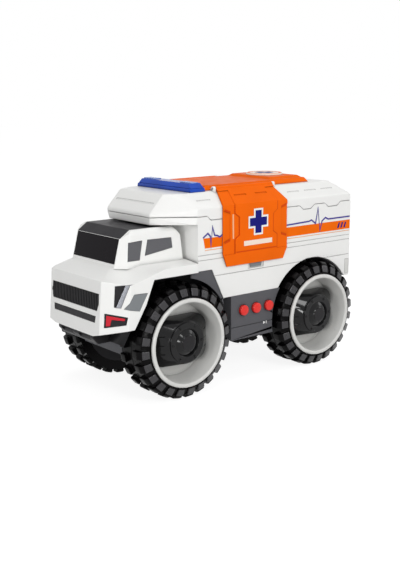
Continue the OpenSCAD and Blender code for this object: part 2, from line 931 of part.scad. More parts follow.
// Keeps what lies under the sloping front of both wings
wing_tilt = (wing_fall + wing_climb * nose_sweep) / (wing_w / 2 - nose_w / 2);
wing_pitch = asin(wing_climb / norm([wing_tilt, wing_climb, 1]));
wing_roll = atan(wing_tilt);
module both_wings_under(inset) {
    intersection_for (side = [0, 1])
        mirror([side, 0, 0])
            translate([nose_w / 2, bonnet_y, bonnet_z])
                rotate([wing_pitch, wing_roll, 0])
                    box([-2 * wing_w, -2 * wing_w, -2 * wing_w], [2 * wing_w, 2 * wing_w, -inset]);
}

module cabin_side(low) {
    polygon([
        [screen_y - screen_lean * low / (screen_top_z - belt_z), belt_z - low], [screen_top_y, screen_top_z],
        [brow_y, cabin_roof_z], [cabin_back_y - 2 * shoulder_drop, cabin_roof_z],
        [cabin_back_y - wall / 2, cabin_roof_z - 2 * shoulder_drop], [cabin_back_y + wall / 2, belt_z - low]
    ]);
}

module cabin_front(low) {
    polygon(mirrored([
        [cabin_w / 2, belt_z - low], [cabin_w / 2 - wall, cabin_roof_z - shoulder_drop],
        [cabin_roof_w / 2, cabin_roof_z]
    ]));
}

// Plan of the cabin, measured back from the foot of the windscreen
pillar_sweep = 8;
module cabin_plan() {
    polygon(mirrored([
        [screen_w / 2 + wall / 2, 0], [cabin_w / 2, pillar_sweep], [cabin_w / 2, 2 * cab_l]
    ]));
}
screen_angle = atan2(screen_lean, screen_top_z - belt_z);

module cabin(inset, low) {
    intersection() {
        along_x(-wing_w, wing_w) offset(delta = -inset) cabin_side(low);
        along_y(front_y, cab_back_y + over) offset(delta = -inset) cabin_front(low);
        translate([0, screen_y, belt_z])
            rotate([-screen_angle, 0, 0])
                linear_extrude(height = 2 * roof_z, center = true) offset(delta = -inset) cabin_plan();
    }
}

// Front wheel arch, cut from the wings and from the body's lower corner
module front_arch(grow, from, to) {
    at_front_axle()
        both_sides()
            along_x(from, to)
                offset(delta = grow) polygon(tyre_r * arch_shares);
}

// Outlines on the cab side, as shares of the side between window line and roof
front_window_shares = [[0.157, 0.665], [0.357, 0.69], [0.303, 0.14], [0.126, 0.145]];
rear_window_shares = [[0.437, 0.69], [0.801, 0.675], [0.811, 0.38], [0.387, 0.25]];
module window_outlines(grow) {
    side = [cab_back_y - screen_y, cabin_h];
    for (shares = [front_window_shares, rear_window_shares])
        offset(delta = grow)
            polygon(share_points([screen_y, belt_z], side, shares));
}

// Outlines on the flat nose, as shares of half its width and of its height
upper_grille_shares = [[0.88, 0.47], [0.94, 0.6], [0.93, 0.77]];
lower_grille_shares = [[0.82, 0.25], [0.84, 0.365]];
// Outlines on the swept sides of the nose, as shares of the sweep's width and of the nose height
headlamp_shares = [[0.47, 0.56], [0.47, 0.925], [0.8, 0.95], [0.51, 0.56]];
strip_shares = [[0.54, 0.56], [0.83, 0.95], [0.97, 0.96], [0.7, 0.55]];
fog_shares = [[0.16, 0.19], [0.16, 0.44], [0.94, 0.39], [0.9, 0.26]];
fog_lens_shares = [[0.22, 0.22], [0.22, 0.41], [0.86, 0.37], [0.84, 0.33], [0.4, 0.34], [0.36, 0.23]];
// Outline on a wing, as shares of the tyre radius
insert_shares = [[-1.16, 0.73], [-1.006, 0.959], [-0.738, 0.95], [-0.905, 0.67]];
nose_size = [nose_w / 2, bonnet_z - bumper_z];
nose_corner = [0, bumper_z];
sweep_size = [(wing_w - nose_w) / 2, bonnet_z - bumper_z];
sweep_corner = [nose_w / 2, bumper_z];

module sweep_outline(shares, grow) {
    offset(delta = grow) polygon(share_points(sweep_corner, sweep_size, shares));
}

module nose_outline_across(shares, grow) {
    offset(delta = grow) polygon(mirrored(share_points(nose_corner, nose_size, shares)));
}

module nose_prisms(grow) {
    along_y(front_y - over, front_y + nose_sweep) {
        nose_outline_across(upper_grille_shares, grow);
        nose_outline_across(lower_grille_shares, grow);
    }
    both_sides()
        along_y(front_y - over, front_y + 2 * nose_sweep) {
            sweep_outline([headlamp_shares[0], headlamp_shares[1], strip_shares[2], strip_shares[3]], grow);
            sweep_outline(fog_shares, grow);
        }
    both_sides()
        insert_prism(grow);
}

module insert_prism(grow) {
    at_front_axle()
        along_x(nose_w / 2, wing_w)
            offset(delta = grow) polygon(tyre_r * insert_shares);
}

module glass_prisms(grow) {
    both_sides() along_x(cabin_roof_w / 2, wing_w) window_outlines(grow);
}

module screen_prism(grow) {
    half = screen_w / 2 + grow;
    box([-half, front_y, belt_z + wall - grow], [half, brow_y, screen_top_z - inlay_gap]);
}

module canopy_prism(grow) {
    half = screen_w / 2 + wall / 2 + grow;
    box([-half, front_y, screen_top_z + inlay_gap], [half, cabin_back_y - 2 * shoulder_drop + grow, luton_z]);
}

// Cross rib between the wheel arches, with two screw posts below it
module cab_rib() {
    half = well_x - wall / 2;
    difference() {
        union() {
            box([-half, cab_screw_y - wall / 2, skirt_z + wall],
                [half, cab_screw_y + wall / 2, arch_top_z + wall]);
            posts([cab_screw_y], skirt_z + 2 * wall);
        }
        post_bores([cab_screw_y]);
    }
}

module cab_shell() {
    color(white) {
        cab_rib();
        cab_skin();
    }
}

module cab_skin() {
    difference() {
        union() {
            lower_cab(0, 0);
            cabin(0, wall);
        }
        difference() {
            union() {
                lower_cab(wall, 2 * wall);
                cabin(wall, 3 * wall);
            }
            front_arch(wall, well_x - wall, wing_w);
        }
        front_arch(0, well_x, wing_w);
        // Room for the chassis spine
        box([-spine_x - part_gap, spine_front_y - part_gap, pan_z],
            [spine_x + part_gap, cab_back_y + over, skirt_z + part_gap]);
        // Seats for the lamps, grilles and windows
        difference() {
            nose_prisms(inlay_gap);
            lower_cab(inlay_t, 0);
        }
        difference() {
            union() {
                glass_prisms(inlay_gap);
                screen_prism(inlay_gap);
                canopy_prism(inlay_gap);
            }
            cabin(inlay_t, wall);
        }
    }
}

// A piece let into the nose or wings
module nose_inlay(proud) {
    intersection() {
        children();
        difference() {
            lower_cab(-proud, 0);
            lower_cab(inlay_t, 0);
        }
    }
}

module cabin_inlay(proud) {
    intersection() {
        children();
        difference() {
            cabin(-proud, wall);
            cabin(inlay_t, wall);
        }
    }
}

module windscreen() { color(gloss_black) cabin_inlay(0) screen_prism(0); }
module cab_roof() { color(roof_grey) cabin_inlay(0) canopy_prism(0); }
module side_windows() { color("#626266") cabin_inlay(-inlay_gap) glass_prisms(0); }

// Grilles with upright ribs
rib_pitch = 2.6;
rib_share = 0.5;
rib_depth = 0.6;
module grille_bars(half) {
    for (x = [-half : rib_pitch : half])
        box([x, front_y - over, bumper_z], [x + rib_pitch * rib_share, front_y + nose_sweep, bonnet_z]);
}

module upper_grille() {
    color(soft_black)
        difference() {
            nose_inlay(0)
                along_y(front_y - over, front_y + nose_sweep) nose_outline_across(upper_grille_shares, 0);
            difference() {
                grille_bars(nose_w / 2);
                lower_cab(rib_depth, 0);
            }
        }
}

module lower_grille() {
    color(soft_black)
        nose_inlay(-rib_depth / 2)
            along_y(front_y - over, front_y + nose_sweep) nose_outline_across(lower_grille_shares, 0);
}

module side_inlay(shares, proud) {
    both_sides()
        nose_inlay(proud)
            along_y(front_y - over, front_y + 2 * nose_sweep) sweep_outline(shares, 0);
}

module headlamps() { color(soft_black) side_inlay(headlamp_shares, 0); }
module headlamp_strips() { color(silver) side_inlay(strip_shares, inlay_gap); }
module wing_inserts() { color(mid_grey) both_sides() nose_inlay(-inlay_gap) insert_prism(0); }

lens_seat = 0.6;
module fog_bezels() {
    color(soft_black)
        difference() {
            side_inlay(fog_shares, 0);
            difference() {
                both_sides()
                    along_y(front_y - over, front_y + 2 * nose_sweep)
                        sweep_outline(fog_lens_shares, inlay_gap);
                lower_cab(lens_seat, 0);
            }
        }
}

module fog_lenses() {
    color(red)
        both_sides()
            intersection() {
                along_y(front_y - over, front_y + 2 * nose_sweep) sweep_outline(fog_lens_shares, 0);
                difference() {
                    lower_cab(0, 0);
                    lower_cab(lens_seat, 0);
                }
            }
}

// Black skid under the bumper, tied back to the chassis spine
skid_h = 7;
skid_lean = 5;
skid_slot_share = 0.3;
module skid_side() {
    polygon([
        [front_y + wall, bumper_z - part_gap], [front_y + wall, bumper_z - skid_h / 2],
        [front_y + wall + skid_lean, bumper_z - skid_h - wall],
        [spine_front_y, bumper_z - skid_h - wall], [spine_front_y, bumper_z - part_gap]
    ]);
}

module front_skid() {
    half = chin_w / 2 - wall;
    slot = chin_w * skid_slot_share / 2;
    color(soft_black)
        difference() {
            along_x(-half, half) skid_side();
            along_x(-half + wall, half - wall) offset(delta = -wall) skid_side();
            for (side = [-1, 1])
                translate([side * half / 2, 0, 0])
                    box([-slot, front_y, bumper_z - skid_h],
                        [slot, front_y + wall + skid_lean / 2, bumper_z - wall]);
        }
}

// Body

door_front_y = box_front_y + door_back;
door_rear_y = door_front_y + door_w;
door_low_z = skirt_z + door_up;
box_x = box_w / 2;

// Height of the seam along the body: level, with a drop before the door and two behind it
seam_shares = [
    [0, 0], [0.055, 0], [0.075, 1], [0.4, 1], [0.41, 0], [0.635, 0], [0.66, 1],
    [0.713, 1], [0.738, 0], [0.81, 0], [0.836, 1], [0.9, 1], [0.925, 0], [1, 0]
];
box_l = box_back_y - box_front_y;
function seam_points(shift) = [
    for (s = seam_shares) [box_front_y + s[0] * box_l, seam_z - s[1] * seam_step + shift]
];
seam_gap = 0.2;

module under_seam() {
    along_x(-box_w, box_w)
        polygon(concat(
            [[front_y - over, seam_z - seam_gap]], seam_points(-seam_gap),
            [[tail_y + over, seam_z - seam_gap], [tail_y + over, 0], [front_y - over, 0]]
        ));
}

module over_seam() {
    along_x(-box_w, box_w)
        polygon(concat(
            [[front_y - over, seam_z]], seam_points(0),
            [[tail_y + over, seam_z], [tail_y + over, 2 * roof_z], [front_y - over, 2 * roof_z]]
        ));
}

// Roof moulding, drawn in by the inset: walls, overhang, chamfers and tail slope
luton_y = box_front_y - luton_reach;
luton_corner_y = box_front_y;
function roof_half(inset, low) = [
    [luton_w / 2 - inset, luton_y + inset, low],
    [luton_w / 2 - inset, luton_y + inset, seam_z + crease_up / 2 - inset],
    [box_x - inset, luton_corner_y + inset, low],
    [box_x - inset, luton_corner_y + inset, crease_z - inset / 2],
    [box_x - inset, box_back_y - inset, low],
    [box_x - inset, box_back_y - inset, crease_z - inset / 2],
    [roof_w / 2 - inset, box_back_y - tail_lean - inset, roof_z - inset],
    [roof_w / 2 - inset, luton_y + 2 * luton_lean + inset, roof_z - inset],
    [luton_w / 2 - inset, luton_y + luton_lean + inset, roof_z - inset]
];
function two_sided(points) = concat(points, [for (p = points) [-p[0], p[1], p[2]]]);

// Underside of the overhang, running back to the body front
function chin_half(inset, high) = [
    [luton_w / 2 - inset, luton_y + inset, high],
    [luton_w / 2 - wall - inset, luton_y + wall / 2 + inset, luton_z + inset],
    [box_x - inset, luton_corner_y, high],
    [box_x - inset, box_front_y - wall, luton_z + inset],
    [box_x - inset, luton_corner_y, luton_z + inset]
];

door_hole_frame = 6;
module door_hole(side_from) {
    frame = door_hole_frame;
    both_sides()
        along_x(side_from, box_w)
            polygon([
                [door_front_y + frame + door_taper, door_low_z + frame],
                [door_rear_y - frame - door_taper, door_low_z + frame],
                [door_rear_y - frame, door_low_z + 3 * frame],
                [door_rear_y - frame, crease_z], [door_rear_y - frame - door_taper, roof_z - frame],
                [door_front_y + frame + door_taper, roof_z - frame], [door_front_y + frame, crease_z],
                [door_front_y + frame, door_low_z + 3 * frame]
            ]);
}

module rear_well(grow, from) {
    both_sides() at_rear_axle() rod_x(2 * (rear_arch_r + grow), from, box_w);
}

// Long grooves and the skirt line pressed into the side walls
groove = 0.6;
groove_ups = [21.5, 37, 41.4];
module side_grooves() {
    both_sides()
        for (up = groove_ups)
            box([box_x - groove, box_front_y - over, skirt_z + up],
                [box_x + over, tail_y + over, skirt_z + up + groove]);
}

// Finger notch under a door
notch_l = 20;
notch_h = 5;
notch_depth = 1.2;
notch_at_share = 0.52;
module finger_notch() {
    middle = door_front_y + door_w * notch_at_share;
    both_sides()
        box([box_x - notch_depth, middle - notch_l / 2, door_low_z - notch_h],
            [box_x + over, middle + notch_l / 2, door_low_z + notch_h / 2]);
}

marker_l = 5.5;
marker_h = 15;
marker_t = 0.9;
marker_back = 1;
module marker_prism(grow) {
    back = box_back_y - marker_back;
    both_sides()
        box([box_x - marker_t, back - marker_l - grow, skirt_z + wall - grow],
            [box_x + over, back + grow, skirt_z + wall + marker_h + grow]);
}

tail_lamp_w = 9;
tail_lamp_h = 20;
tail_lamp_in = 5;
tail_lamp_up = 14;
module tail_lamp_prism(grow, back) {
    both_sides()
        box([box_x - tail_lamp_in - tail_lamp_w - grow, box_back_y - wall / 2, skirt_z + tail_lamp_up - grow],
            [box_x - tail_lamp_in + grow, back, skirt_z + tail_lamp_up + tail_lamp_h + grow]);
}

// Moulded rear doors: a frame line and a middle line
rear_line = 0.8;
rear_door_w = 70;
rear_door_h = 62;
rear_door_up = 10;
module rear_door_lines() {
    low = skirt_z + rear_door_up;
    along_y(box_back_y - rear_line, tail_y + over)
        difference() {
            translate([-rear_door_w / 2, low]) square([rear_door_w, rear_door_h]);
            for (side = [0, 1])
                mirror([side, 0])
                    translate([rear_line / 2, low + rear_line])
                        square([rear_door_w / 2 - 1.5 * rear_line, rear_door_h - 2 * rear_line]);
        }
}

module box_lower() {
    color(white)
        intersection() {
            under_seam();
            difference() {
                union() {
                    box([-box_x, box_front_y, skirt_z], [box_x, box_back_y, seam_z]);
                    through(two_sided(chin_half(0, seam_z)));
                }
                difference() {
                    box([-box_x + wall, box_front_y + wall, skirt_z - over],
                        [box_x - wall, box_back_y - wall, roof_z]);
                    front_arch(wall, well_x - wall, box_w);
                    rear_well(wall, well_x - wall);
                }
                through(two_sided(chin_half(wall, roof_z)));
                front_arch(0, well_x, box_w);
                rear_well(0, well_x);
                door_hole(well_x);
                side_grooves();
                finger_notch();
                marker_prism(inlay_gap);
                tail_lamp_prism(inlay_gap, tail_y + over);
                rear_door_lines();
            }
        }
}

module rear_markers() {
    color(light_grey)
        intersection() {
            marker_prism(0);
            box([-box_x, 0, 0], [box_x, tail_y, roof_z]);
        }
}

module tail_lamps() { color(red) tail_lamp_prism(0, tail_y); }

// Dark panel that fills the top rear corner of each front arch
filler_set = 0.8;
filler_reach = 7;
filler_low_share = 0.12;
module arch_fillers() {
    color(dark_grey)
        both_sides()
            difference() {
                intersection() {
                    at_front_axle()
                        along_x(box_x - filler_set - wall, box_x - filler_set)
                            polygon(tyre_r * arch_shares);
                    box([0, box_front_y - filler_reach, skirt_z - tyre_r * filler_low_share],
                        [box_w, box_back_y, roof_z]);
                }
                at_front_axle() rod_x(2 * rear_arch_r, 0, box_w);
            }
}

// Hinge line of a door, just above the edge of the roof
chamfer = [roof_w / 2 - box_x, roof_rise];
chamfer_dir = chamfer / norm(chamfer);
chamfer_out = [chamfer_dir[1], -chamfer_dir[0]];
roof_edge = [roof_w / 2, roof_z];
hinge_lift = (barrel_d / 2 + part_gap - (part_gap + door_t / 2) * chamfer_out[1]) / chamfer_dir[1];
hinge_at = roof_edge + (part_gap + door_t / 2) * chamfer_out + hinge_lift * chamfer_dir;
ear_t = 3;
pin_front_y = door_front_y + door_taper - part_gap - ear_t;
pin_rear_y = door_rear_y - door_taper + part_gap + ear_t;

// Corner of the door section at the crease, for a skin this far from the wall
function crease_at(d) = [box_x, crease_z] + d * ([1, 0] + chamfer_out) / (1 + chamfer_out[0]);
function hinge_end_at(d) = roof_edge + d * chamfer_out + hinge_lift * chamfer_dir;

module at_hinge() { translate([hinge_at[0], 0, hinge_at[1]]) children(); }

module hinge_ears() {
    for (y = [pin_front_y, pin_rear_y - ear_t])
        difference() {
            union() {
                at_hinge() rod_y(barrel_d, y, y + ear_t);
                box([hinge_at[0] - barrel_d / 2, y, roof_z - wall / 2],
                    [hinge_at[0] + barrel_d / 2, y + ear_t, hinge_at[1]]);
            }
            at_hinge() rod_y(pin_d, y - over, y + ear_t + over);
        }
}

// Shallow slots pressed into the roof chamfers, one ahead of each door and three behind it
slot_l = 16;
slot_w = 1.4;
slot_pitch = 23;
slot_back = 16.3;
slot_ahead = 15.2;
module roof_slots() {
    middle = [box_x, crease_z] + chamfer / 2;
    rear_ys = [for (i = [0 : 2]) door_rear_y + slot_back + i * slot_pitch];
    both_sides()
        for (y = concat([door_front_y - slot_ahead], rear_ys))
            translate([middle[0], y, middle[1]])
                rotate([0, atan2(chamfer_out[0], chamfer_out[1]), 0])
                    translate([-slot_w / 2, -slot_l / 2, -groove]) cube([slot_w, slot_l, groove + over]);
}

// Wide line across the sloping front over the windscreen
luton_line_w = 1.8;
luton_line_in = 4;
module luton_line() {
    low_z = seam_z + crease_up / 2;
    translate([0, luton_y + luton_lean / 2, (low_z + roof_z) / 2])
        rotate([atan2(roof_z - low_z, luton_lean), 0, 0])
            cube([luton_w - 2 * luton_line_in, luton_line_w, 2 * groove], center = true);
}

module box_roof() {
    color(white) {
        difference() {
            intersection() {
                through(two_sided(roof_half(0, luton_z)));
                over_seam();
            }
            through(two_sided(roof_half(wall, luton_z - over)));
            door_hole(roof_w / 2);
            roof_slots();
            luton_line();
        }
        both_sides() hinge_ears();
    }
}

module hinge_pin() {
    color(silver)
        at_hinge()
            rod_y(pin_d, pin_front_y, pin_rear_y);
}
module hinge_pin_left() { hinge_pin(); }
module hinge_pin_right() { on_right() hinge_pin(); }

// Gull-wing door: one bent panel with a hinge barrel along its top
door_edge_shares = [[0.057, 0], [0, 0.17]];
module door_outline() {
    rise = roof_z - door_low_z;
    low = door_low_z;
    front = door_front_y;
    rear = door_rear_y;
    cut = [door_edge_shares[0][0] * door_w, door_edge_shares[1][1] * rise];
    // The taper ends below the hinge ears
    taper_z = roof_z - wall / 2 - part_gap;
    polygon([
        [front + cut[0], low], [rear - cut[0], low], [rear, low + cut[1]], [rear, crease_z],
        [rear - door_taper, taper_z], [rear - door_taper, roof_z + barrel_d * 2],
        [front + door_taper, roof_z + barrel_d * 2], [front + door_taper, taper_z],
        [front, crease_z], [front, low + cut[1]]
    ]);
}

// Section of the door skin between two distances from the wall, tucked in at its lower edge
door_tuck = 1.2;
low_line_up = 11;
module door_section(from, to) {
    polygon([
        [box_x + from, door_low_z], [box_x + to - door_tuck, door_low_z],
        [box_x + to, door_low_z + low_line_up], crease_at(to), hinge_end_at(to),
        hinge_end_at(from), crease_at(from)
    ]);
}

// Raised middle panel and edge dents, as shares of the door's width from its middle and of its height
panel_shares = [
    [0.324, 0.163], [0.324, 0.36], [0.26, 0.41], [0.26, 0.658], [0.327, 0.713], [0.327, 0.85], [0.285, 1]
];
dent_shares = [[0.55, 0.31], [0.395, 0.37], [0.395, 0.72], [0.55, 0.785]];
panel_rise = 0.7;
dent_depth = 0.6;
door_slot_w = 1.8;
door_slot_l = 14.5;
door_slot_at = 12.8;
module door_cut(depth) {
    outer = part_gap + door_t;
    intersection() {
        along_y(door_front_y - over, door_rear_y + over) door_section(outer - depth, outer + over);
        along_x(roof_w / 2, box_w) children();
    }
}

module door_relief() {
    outer = part_gap + door_t;
    size = [door_w, roof_z - door_low_z];
    middle = (door_front_y + door_rear_y) / 2;
    door_cut(panel_rise)
        difference() {
            translate([door_front_y - over, door_low_z + low_line_up])
                square([door_w + 2 * over, roof_z - door_low_z - low_line_up]);
            translate([middle, 0]) polygon(mirrored(share_points([0, door_low_z], size, panel_shares)));
        }
    door_cut(panel_rise + dent_depth)
        translate([middle, 0])
            for (side = [0, 1])
                mirror([side, 0]) polygon(share_points([0, door_low_z], size, dent_shares));
    slot_mid = (crease_at(outer) + hinge_end_at(outer)) / 2;
    for (side = [-1, 1])
        translate([slot_mid[0], middle + side * door_slot_at, slot_mid[1]])
            rotate([0, atan2(chamfer_out[0], chamfer_out[1]), 0])
                cube([door_slot_w, door_slot_l, 2 * panel_rise], center = true);
}

module door() {
    color(orange)
        difference() {
            union() {
                intersection() {
                    along_y(door_front_y, door_rear_y) door_section(part_gap, part_gap + door_t);
                    along_x(0, box_w) door_outline();
                }
                at_hinge() rod_y(barrel_d, door_front_y + door_taper, door_rear_y - door_taper);
            }
            at_hinge() rod_y(pin_d + 2 * run_gap, door_front_y, door_rear_y);
            door_relief();
        }
}
module door_left() { door(); }
module door_right() { on_right() door(); }

// Floor of the load space, with the posts that the case screws bite into
module cargo_floor() {
    color(mid_grey)
        difference() {
            union() {
                posts(floor_screw_ys, skirt_z + wall / 2);
                box([-spine_x, box_front_y + wall + part_gap, skirt_z],
                    [spine_x, box_back_y - wall - part_gap, skirt_z + wall]);
                difference() {
                    box([-box_x + wall + part_gap, mid_front_y, skirt_z],
                        [box_x - wall - part_gap, mid_back_y, skirt_z + wall]);
                    rear_well(wall + part_gap, spine_x);
                    front_arch(wall + part_gap, spine_x, box_w);
                }
            }
            post_bores(floor_screw_ys);
        }
}

// Roof fittings

bar_y = box_front_y + bar_back;
bar_base_t = 3.4;
bar_wall = 1.2;
bar_taper = 4;
bar_foot = 1;
module bar_end(grow, low) {
    half = bar_w / 2 - grow;
    polygon(mirrored([
        [half, roof_z + bar_base_t - low], [half - bar_taper, roof_z + bar_h - grow]
    ]));
}

module bar_side(grow) {
    polygon([
        [bar_y + grow, roof_z], [bar_y + bar_taper / 2 + grow, roof_z + bar_h],
        [bar_y + bar_l - bar_taper / 2 - grow, roof_z + bar_h], [bar_y + bar_l - grow, roof_z]
    ]);
}

bar_rib_pitch = 5;
bar_rib = 0.5;
module light_bar_lens() {
    color(blue)
        difference() {
            intersection() {
                along_y(bar_y, bar_y + bar_l) bar_end(0, 0);
                along_x(-bar_w, bar_w) bar_side(0);
            }
            intersection() {
                along_y(bar_y, bar_y + bar_l) bar_end(bar_wall, over);
                along_x(-bar_w, bar_w) bar_side(bar_wall);
            }
            // Prism ribs across the top
            for (x = [-bar_w / 2 + 2 * bar_taper : bar_rib_pitch : bar_w / 2 - 2 * bar_taper])
                box([x, bar_y, roof_z + bar_h - bar_rib],
                    [x + bar_rib, bar_y + bar_l, roof_z + bar_h + over]);
        }
}

module light_bar_base() {
    color(white)
        along_y(bar_y, bar_y + bar_l)
            polygon(mirrored([[bar_w / 2 + bar_foot, roof_z], [bar_w / 2, roof_z + bar_base_t]]));
}

led_d = 3;
led_h = bar_h - bar_base_t - 1.5 * bar_wall - part_gap;
led_at_share = 0.3;
light_board_share = 0.8;
module light_board() {
    half = bar_w * light_board_share / 2;
    middle = bar_y + bar_l / 2;
    depth = bar_l / 2 - bar_taper;
    color("#2f6b3f") {
        box([-half, middle - depth, roof_z + bar_base_t],
            [half, middle + depth, roof_z + bar_base_t + bar_wall]);
        for (side = [-1, 1])
            translate([side * bar_w * led_at_share, middle, roof_z + bar_base_t + bar_wall / 2])
                cylinder(d = led_d, h = led_h);
    }
}

plate_gap = 2;
plate_front_y = bar_y + bar_l + plate_gap;
plate_rear_y = plate_front_y + plate_l;
pad_rear = 2;
plate_slope = 3;
plate_w = roof_w - 2 * plate_in;
badge_d = pad_l - pad_rear - 2 * plate_slope;
module plate_block(front, rear, half, low, high) {
    intersection() {
        along_y(front, rear)
            polygon(mirrored([[half, low], [half - plate_slope, high]]));
        along_x(-half, half)
            polygon([[front, low], [front + plate_slope, high], [rear - plate_slope, high], [rear, low]]);
    }
}

module roof_plate() {
    plate_z = roof_z + plate_h;
    color(orange) {
        plate_block(plate_front_y, plate_rear_y, plate_w / 2, roof_z, plate_z);
        plate_block(plate_rear_y - pad_l - plate_slope, plate_rear_y - plate_slope - pad_rear,
            plate_w / 2 - plate_slope - pad_rear, plate_z, plate_z + pad_h);
    }
}

module roof_badge() {
    color(cream)
        translate([0, plate_rear_y - plate_slope - pad_l / 2 - pad_rear / 2, roof_z + plate_h + pad_h])
            cylinder(d1 = badge_d, d2 = badge_d - badge_h, h = badge_h);
}

chassis_pan();
cab_shell();
windscreen();
cab_roof();
side_windows();
upper_grille();
lower_grille();
headlamps();
headlamp_strips();
fog_bezels();
fog_lenses();
wing_inserts();
front_skid();
arch_fillers();
box_lower();
box_roof();
roof_plate();
roof_badge();
light_bar_base();
light_board();
light_bar_lens();
cargo_floor();
rear_markers();
tail_lamps();
hinge_pin_left();
hinge_pin_right();
button_board();
speaker();
battery_cells();
battery_contacts();
battery_door();
battery_door_screw();
case_screws();
axle_bushes();
gearbox_frame();
compound_pin();
front_axle();
front_tyre_left();
front_tyre_right();
front_rim_left();
front_rim_right();
front_hub_left();
front_hub_right();
rear_axle();
rear_tyre_left();
rear_tyre_right();
rear_rim_left();
rear_rim_right();
rear_hub_left();
rear_hub_right();
axle_gear();
compound_gear();
flywheel();
door_left();
door_right();
button_front();
button_middle();
button_rear();
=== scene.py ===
"""Looks of a big-wheel toy ambulance: its mouldings, prints, lamps and the studio stage."""
import json
from math import asin, atan2, cos, degrees, pi, radians, sin

import bmesh
import bpy
from mathutils import Matrix, Vector

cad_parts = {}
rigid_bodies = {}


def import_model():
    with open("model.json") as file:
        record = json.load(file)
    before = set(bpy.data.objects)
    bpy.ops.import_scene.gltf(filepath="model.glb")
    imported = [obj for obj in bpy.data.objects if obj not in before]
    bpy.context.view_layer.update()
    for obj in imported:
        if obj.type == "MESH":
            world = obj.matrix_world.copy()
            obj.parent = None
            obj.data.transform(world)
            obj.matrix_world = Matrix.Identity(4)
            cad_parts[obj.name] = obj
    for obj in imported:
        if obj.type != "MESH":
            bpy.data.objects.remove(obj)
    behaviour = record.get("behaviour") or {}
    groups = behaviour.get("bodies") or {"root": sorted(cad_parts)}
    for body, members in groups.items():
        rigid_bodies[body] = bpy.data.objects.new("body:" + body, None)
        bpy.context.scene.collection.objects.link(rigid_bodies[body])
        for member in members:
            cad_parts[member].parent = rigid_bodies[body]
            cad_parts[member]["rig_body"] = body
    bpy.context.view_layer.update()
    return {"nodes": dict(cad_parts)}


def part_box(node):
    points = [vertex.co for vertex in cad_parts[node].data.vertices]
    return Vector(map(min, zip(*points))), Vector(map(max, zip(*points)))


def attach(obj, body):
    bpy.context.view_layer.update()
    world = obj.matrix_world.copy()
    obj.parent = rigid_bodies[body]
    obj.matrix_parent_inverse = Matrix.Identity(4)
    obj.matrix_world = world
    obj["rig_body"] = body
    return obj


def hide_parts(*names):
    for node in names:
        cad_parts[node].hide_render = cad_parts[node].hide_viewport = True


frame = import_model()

bl_info = {
    "name": "Toy ambulance looks",
    "version": (1, 0, 0),
    "blender": (4, 5, 0),
    "location": "3D View > Sidebar > Toy truck",
    "description": "Dresses the packed toy ambulance and sets up its studio stage",
    "category": "Object",
}

MM = 0.001
SIDES = {"left": 1, "right": -1}
AXLES = ("front", "rear")


# The sRGB curve: where its straight foot ends, the slope of the foot, and the lift and power above it
SRGB_FOOT = 0.04045
SRGB_SLOPE = 12.92
SRGB_LIFT = 0.055
SRGB_POWER = 2.4


def linear(code):
    """An sRGB hex colour as linear RGBA."""
    parts = [int(code[i:i + 2], 16) / 255 for i in (1, 3, 5)]
    return tuple(c / SRGB_SLOPE if c <= SRGB_FOOT else ((c + SRGB_LIFT) / (1 + SRGB_LIFT)) ** SRGB_POWER
                 for c in parts) + (1.0,)


def grey(value):
    """A grey of linear light as RGBA."""
    return (value, value, value, 1.0)


def colour(name, description, code):
    """A colour property, its default written as sRGB hex."""
    return bpy.props.FloatVectorProperty(
        name=name, description=description, subtype="COLOR", size=4, min=0.0, max=1.0, default=linear(code))


def length(name, description, default):
    """A length property in metres."""
    return bpy.props.FloatProperty(name=name, description=description, unit="LENGTH", min=0.0, precision=5,
                                   default=default)


class TruckColours(bpy.types.PropertyGroup):
    """Colours of the mouldings, lamps and inks."""
    white: colour("White", "Cab, body and white ink", "#f0f0ee")
    orange: colour("Orange", "Side doors and roof plate", "#f66a10")
    dark_grey: colour("Dark grey", "Chassis, arch fillers and battery door", "#57575b")
    # The black also paints the shade of the wheel wells and rims, on the arch liners and dust discs
    black: colour("Black", "Grilles, lamp housings, skid, arch liners and hub caps", "#232224")
    hub: colour("Hub black", "Gloss black wheel hubs", "#070709")
    screen: colour("Windscreen", "Tinted windscreen", "#120e13")
    cab_roof: colour("Cab roof", "Roof panel of the cab", "#302f32")
    window: colour("Side windows", "Grey side windows", "#5c5c60")
    # The mid grey also paints the shade in the finger notches under the doors
    mid_grey: colour("Mid grey", "Wing inserts, finger rests and load floor", "#777b7e")
    light_grey: colour("Light grey", "Rims, markers and bushes", "#d6d6d3")
    tyre: colour("Tyre", "Soft black tyres", "#070607")
    # Painted sheen: the shoulder pads are lighter than the tyre to show its sheen
    tyre_sheen: colour("Tyre shoulder", "Polished shoulder pads of the tyres", "#2c2b2e")
    silver: colour("Silver", "Metallised headlamp strips", "#8e9096")
    red_lens: colour("Red lens", "Fog and tail lenses", "#cd192d")
    button: colour("Button red", "Push buttons", "#e4322c")
    blue: colour("Blue lens", "Light bar lens", "#1246b4")
    # Painted glints: the lens's ribs are paler than the lens
    blue_rib_glint: colour("Blue ribs", "Prisms of the light bar lens", "#5a86dc")
    cream: colour("Cream", "Badge disc and door bar", "#f6e4d4")
    stripe: colour("Stripe orange", "Printed stripe", "#f66c04")
    fine_line: colour("Fine line", "Thin printed line under the stripe", "#f3b27c")
    # Painted highlight: a pale line on a door's front flank
    flank_highlight: colour("Pale orange", "Thin printed line on a door's front flank", "#f7b98c")
    # Painted shade: the darker orange drawn along a door's seams, dents and panel foot
    seam: colour("Seam orange", "Darker orange in the seams of a door", "#d9480c")
    pulse: colour("Pulse line", "Printed heartbeat line", "#4a4398")
    navy: colour("Navy", "Plus signs and stripe bars", "#1c1c78")
    board: colour("Circuit board", "Circuit boards", "#2f6b3f")
    steel: colour("Steel", "Axles, pins and screws", "#b0b2b6")
    acetal: colour("Acetal", "Gears", "#efe6d6")
    jacket: colour("Cell jacket", "Battery cells", "#8a8c92")


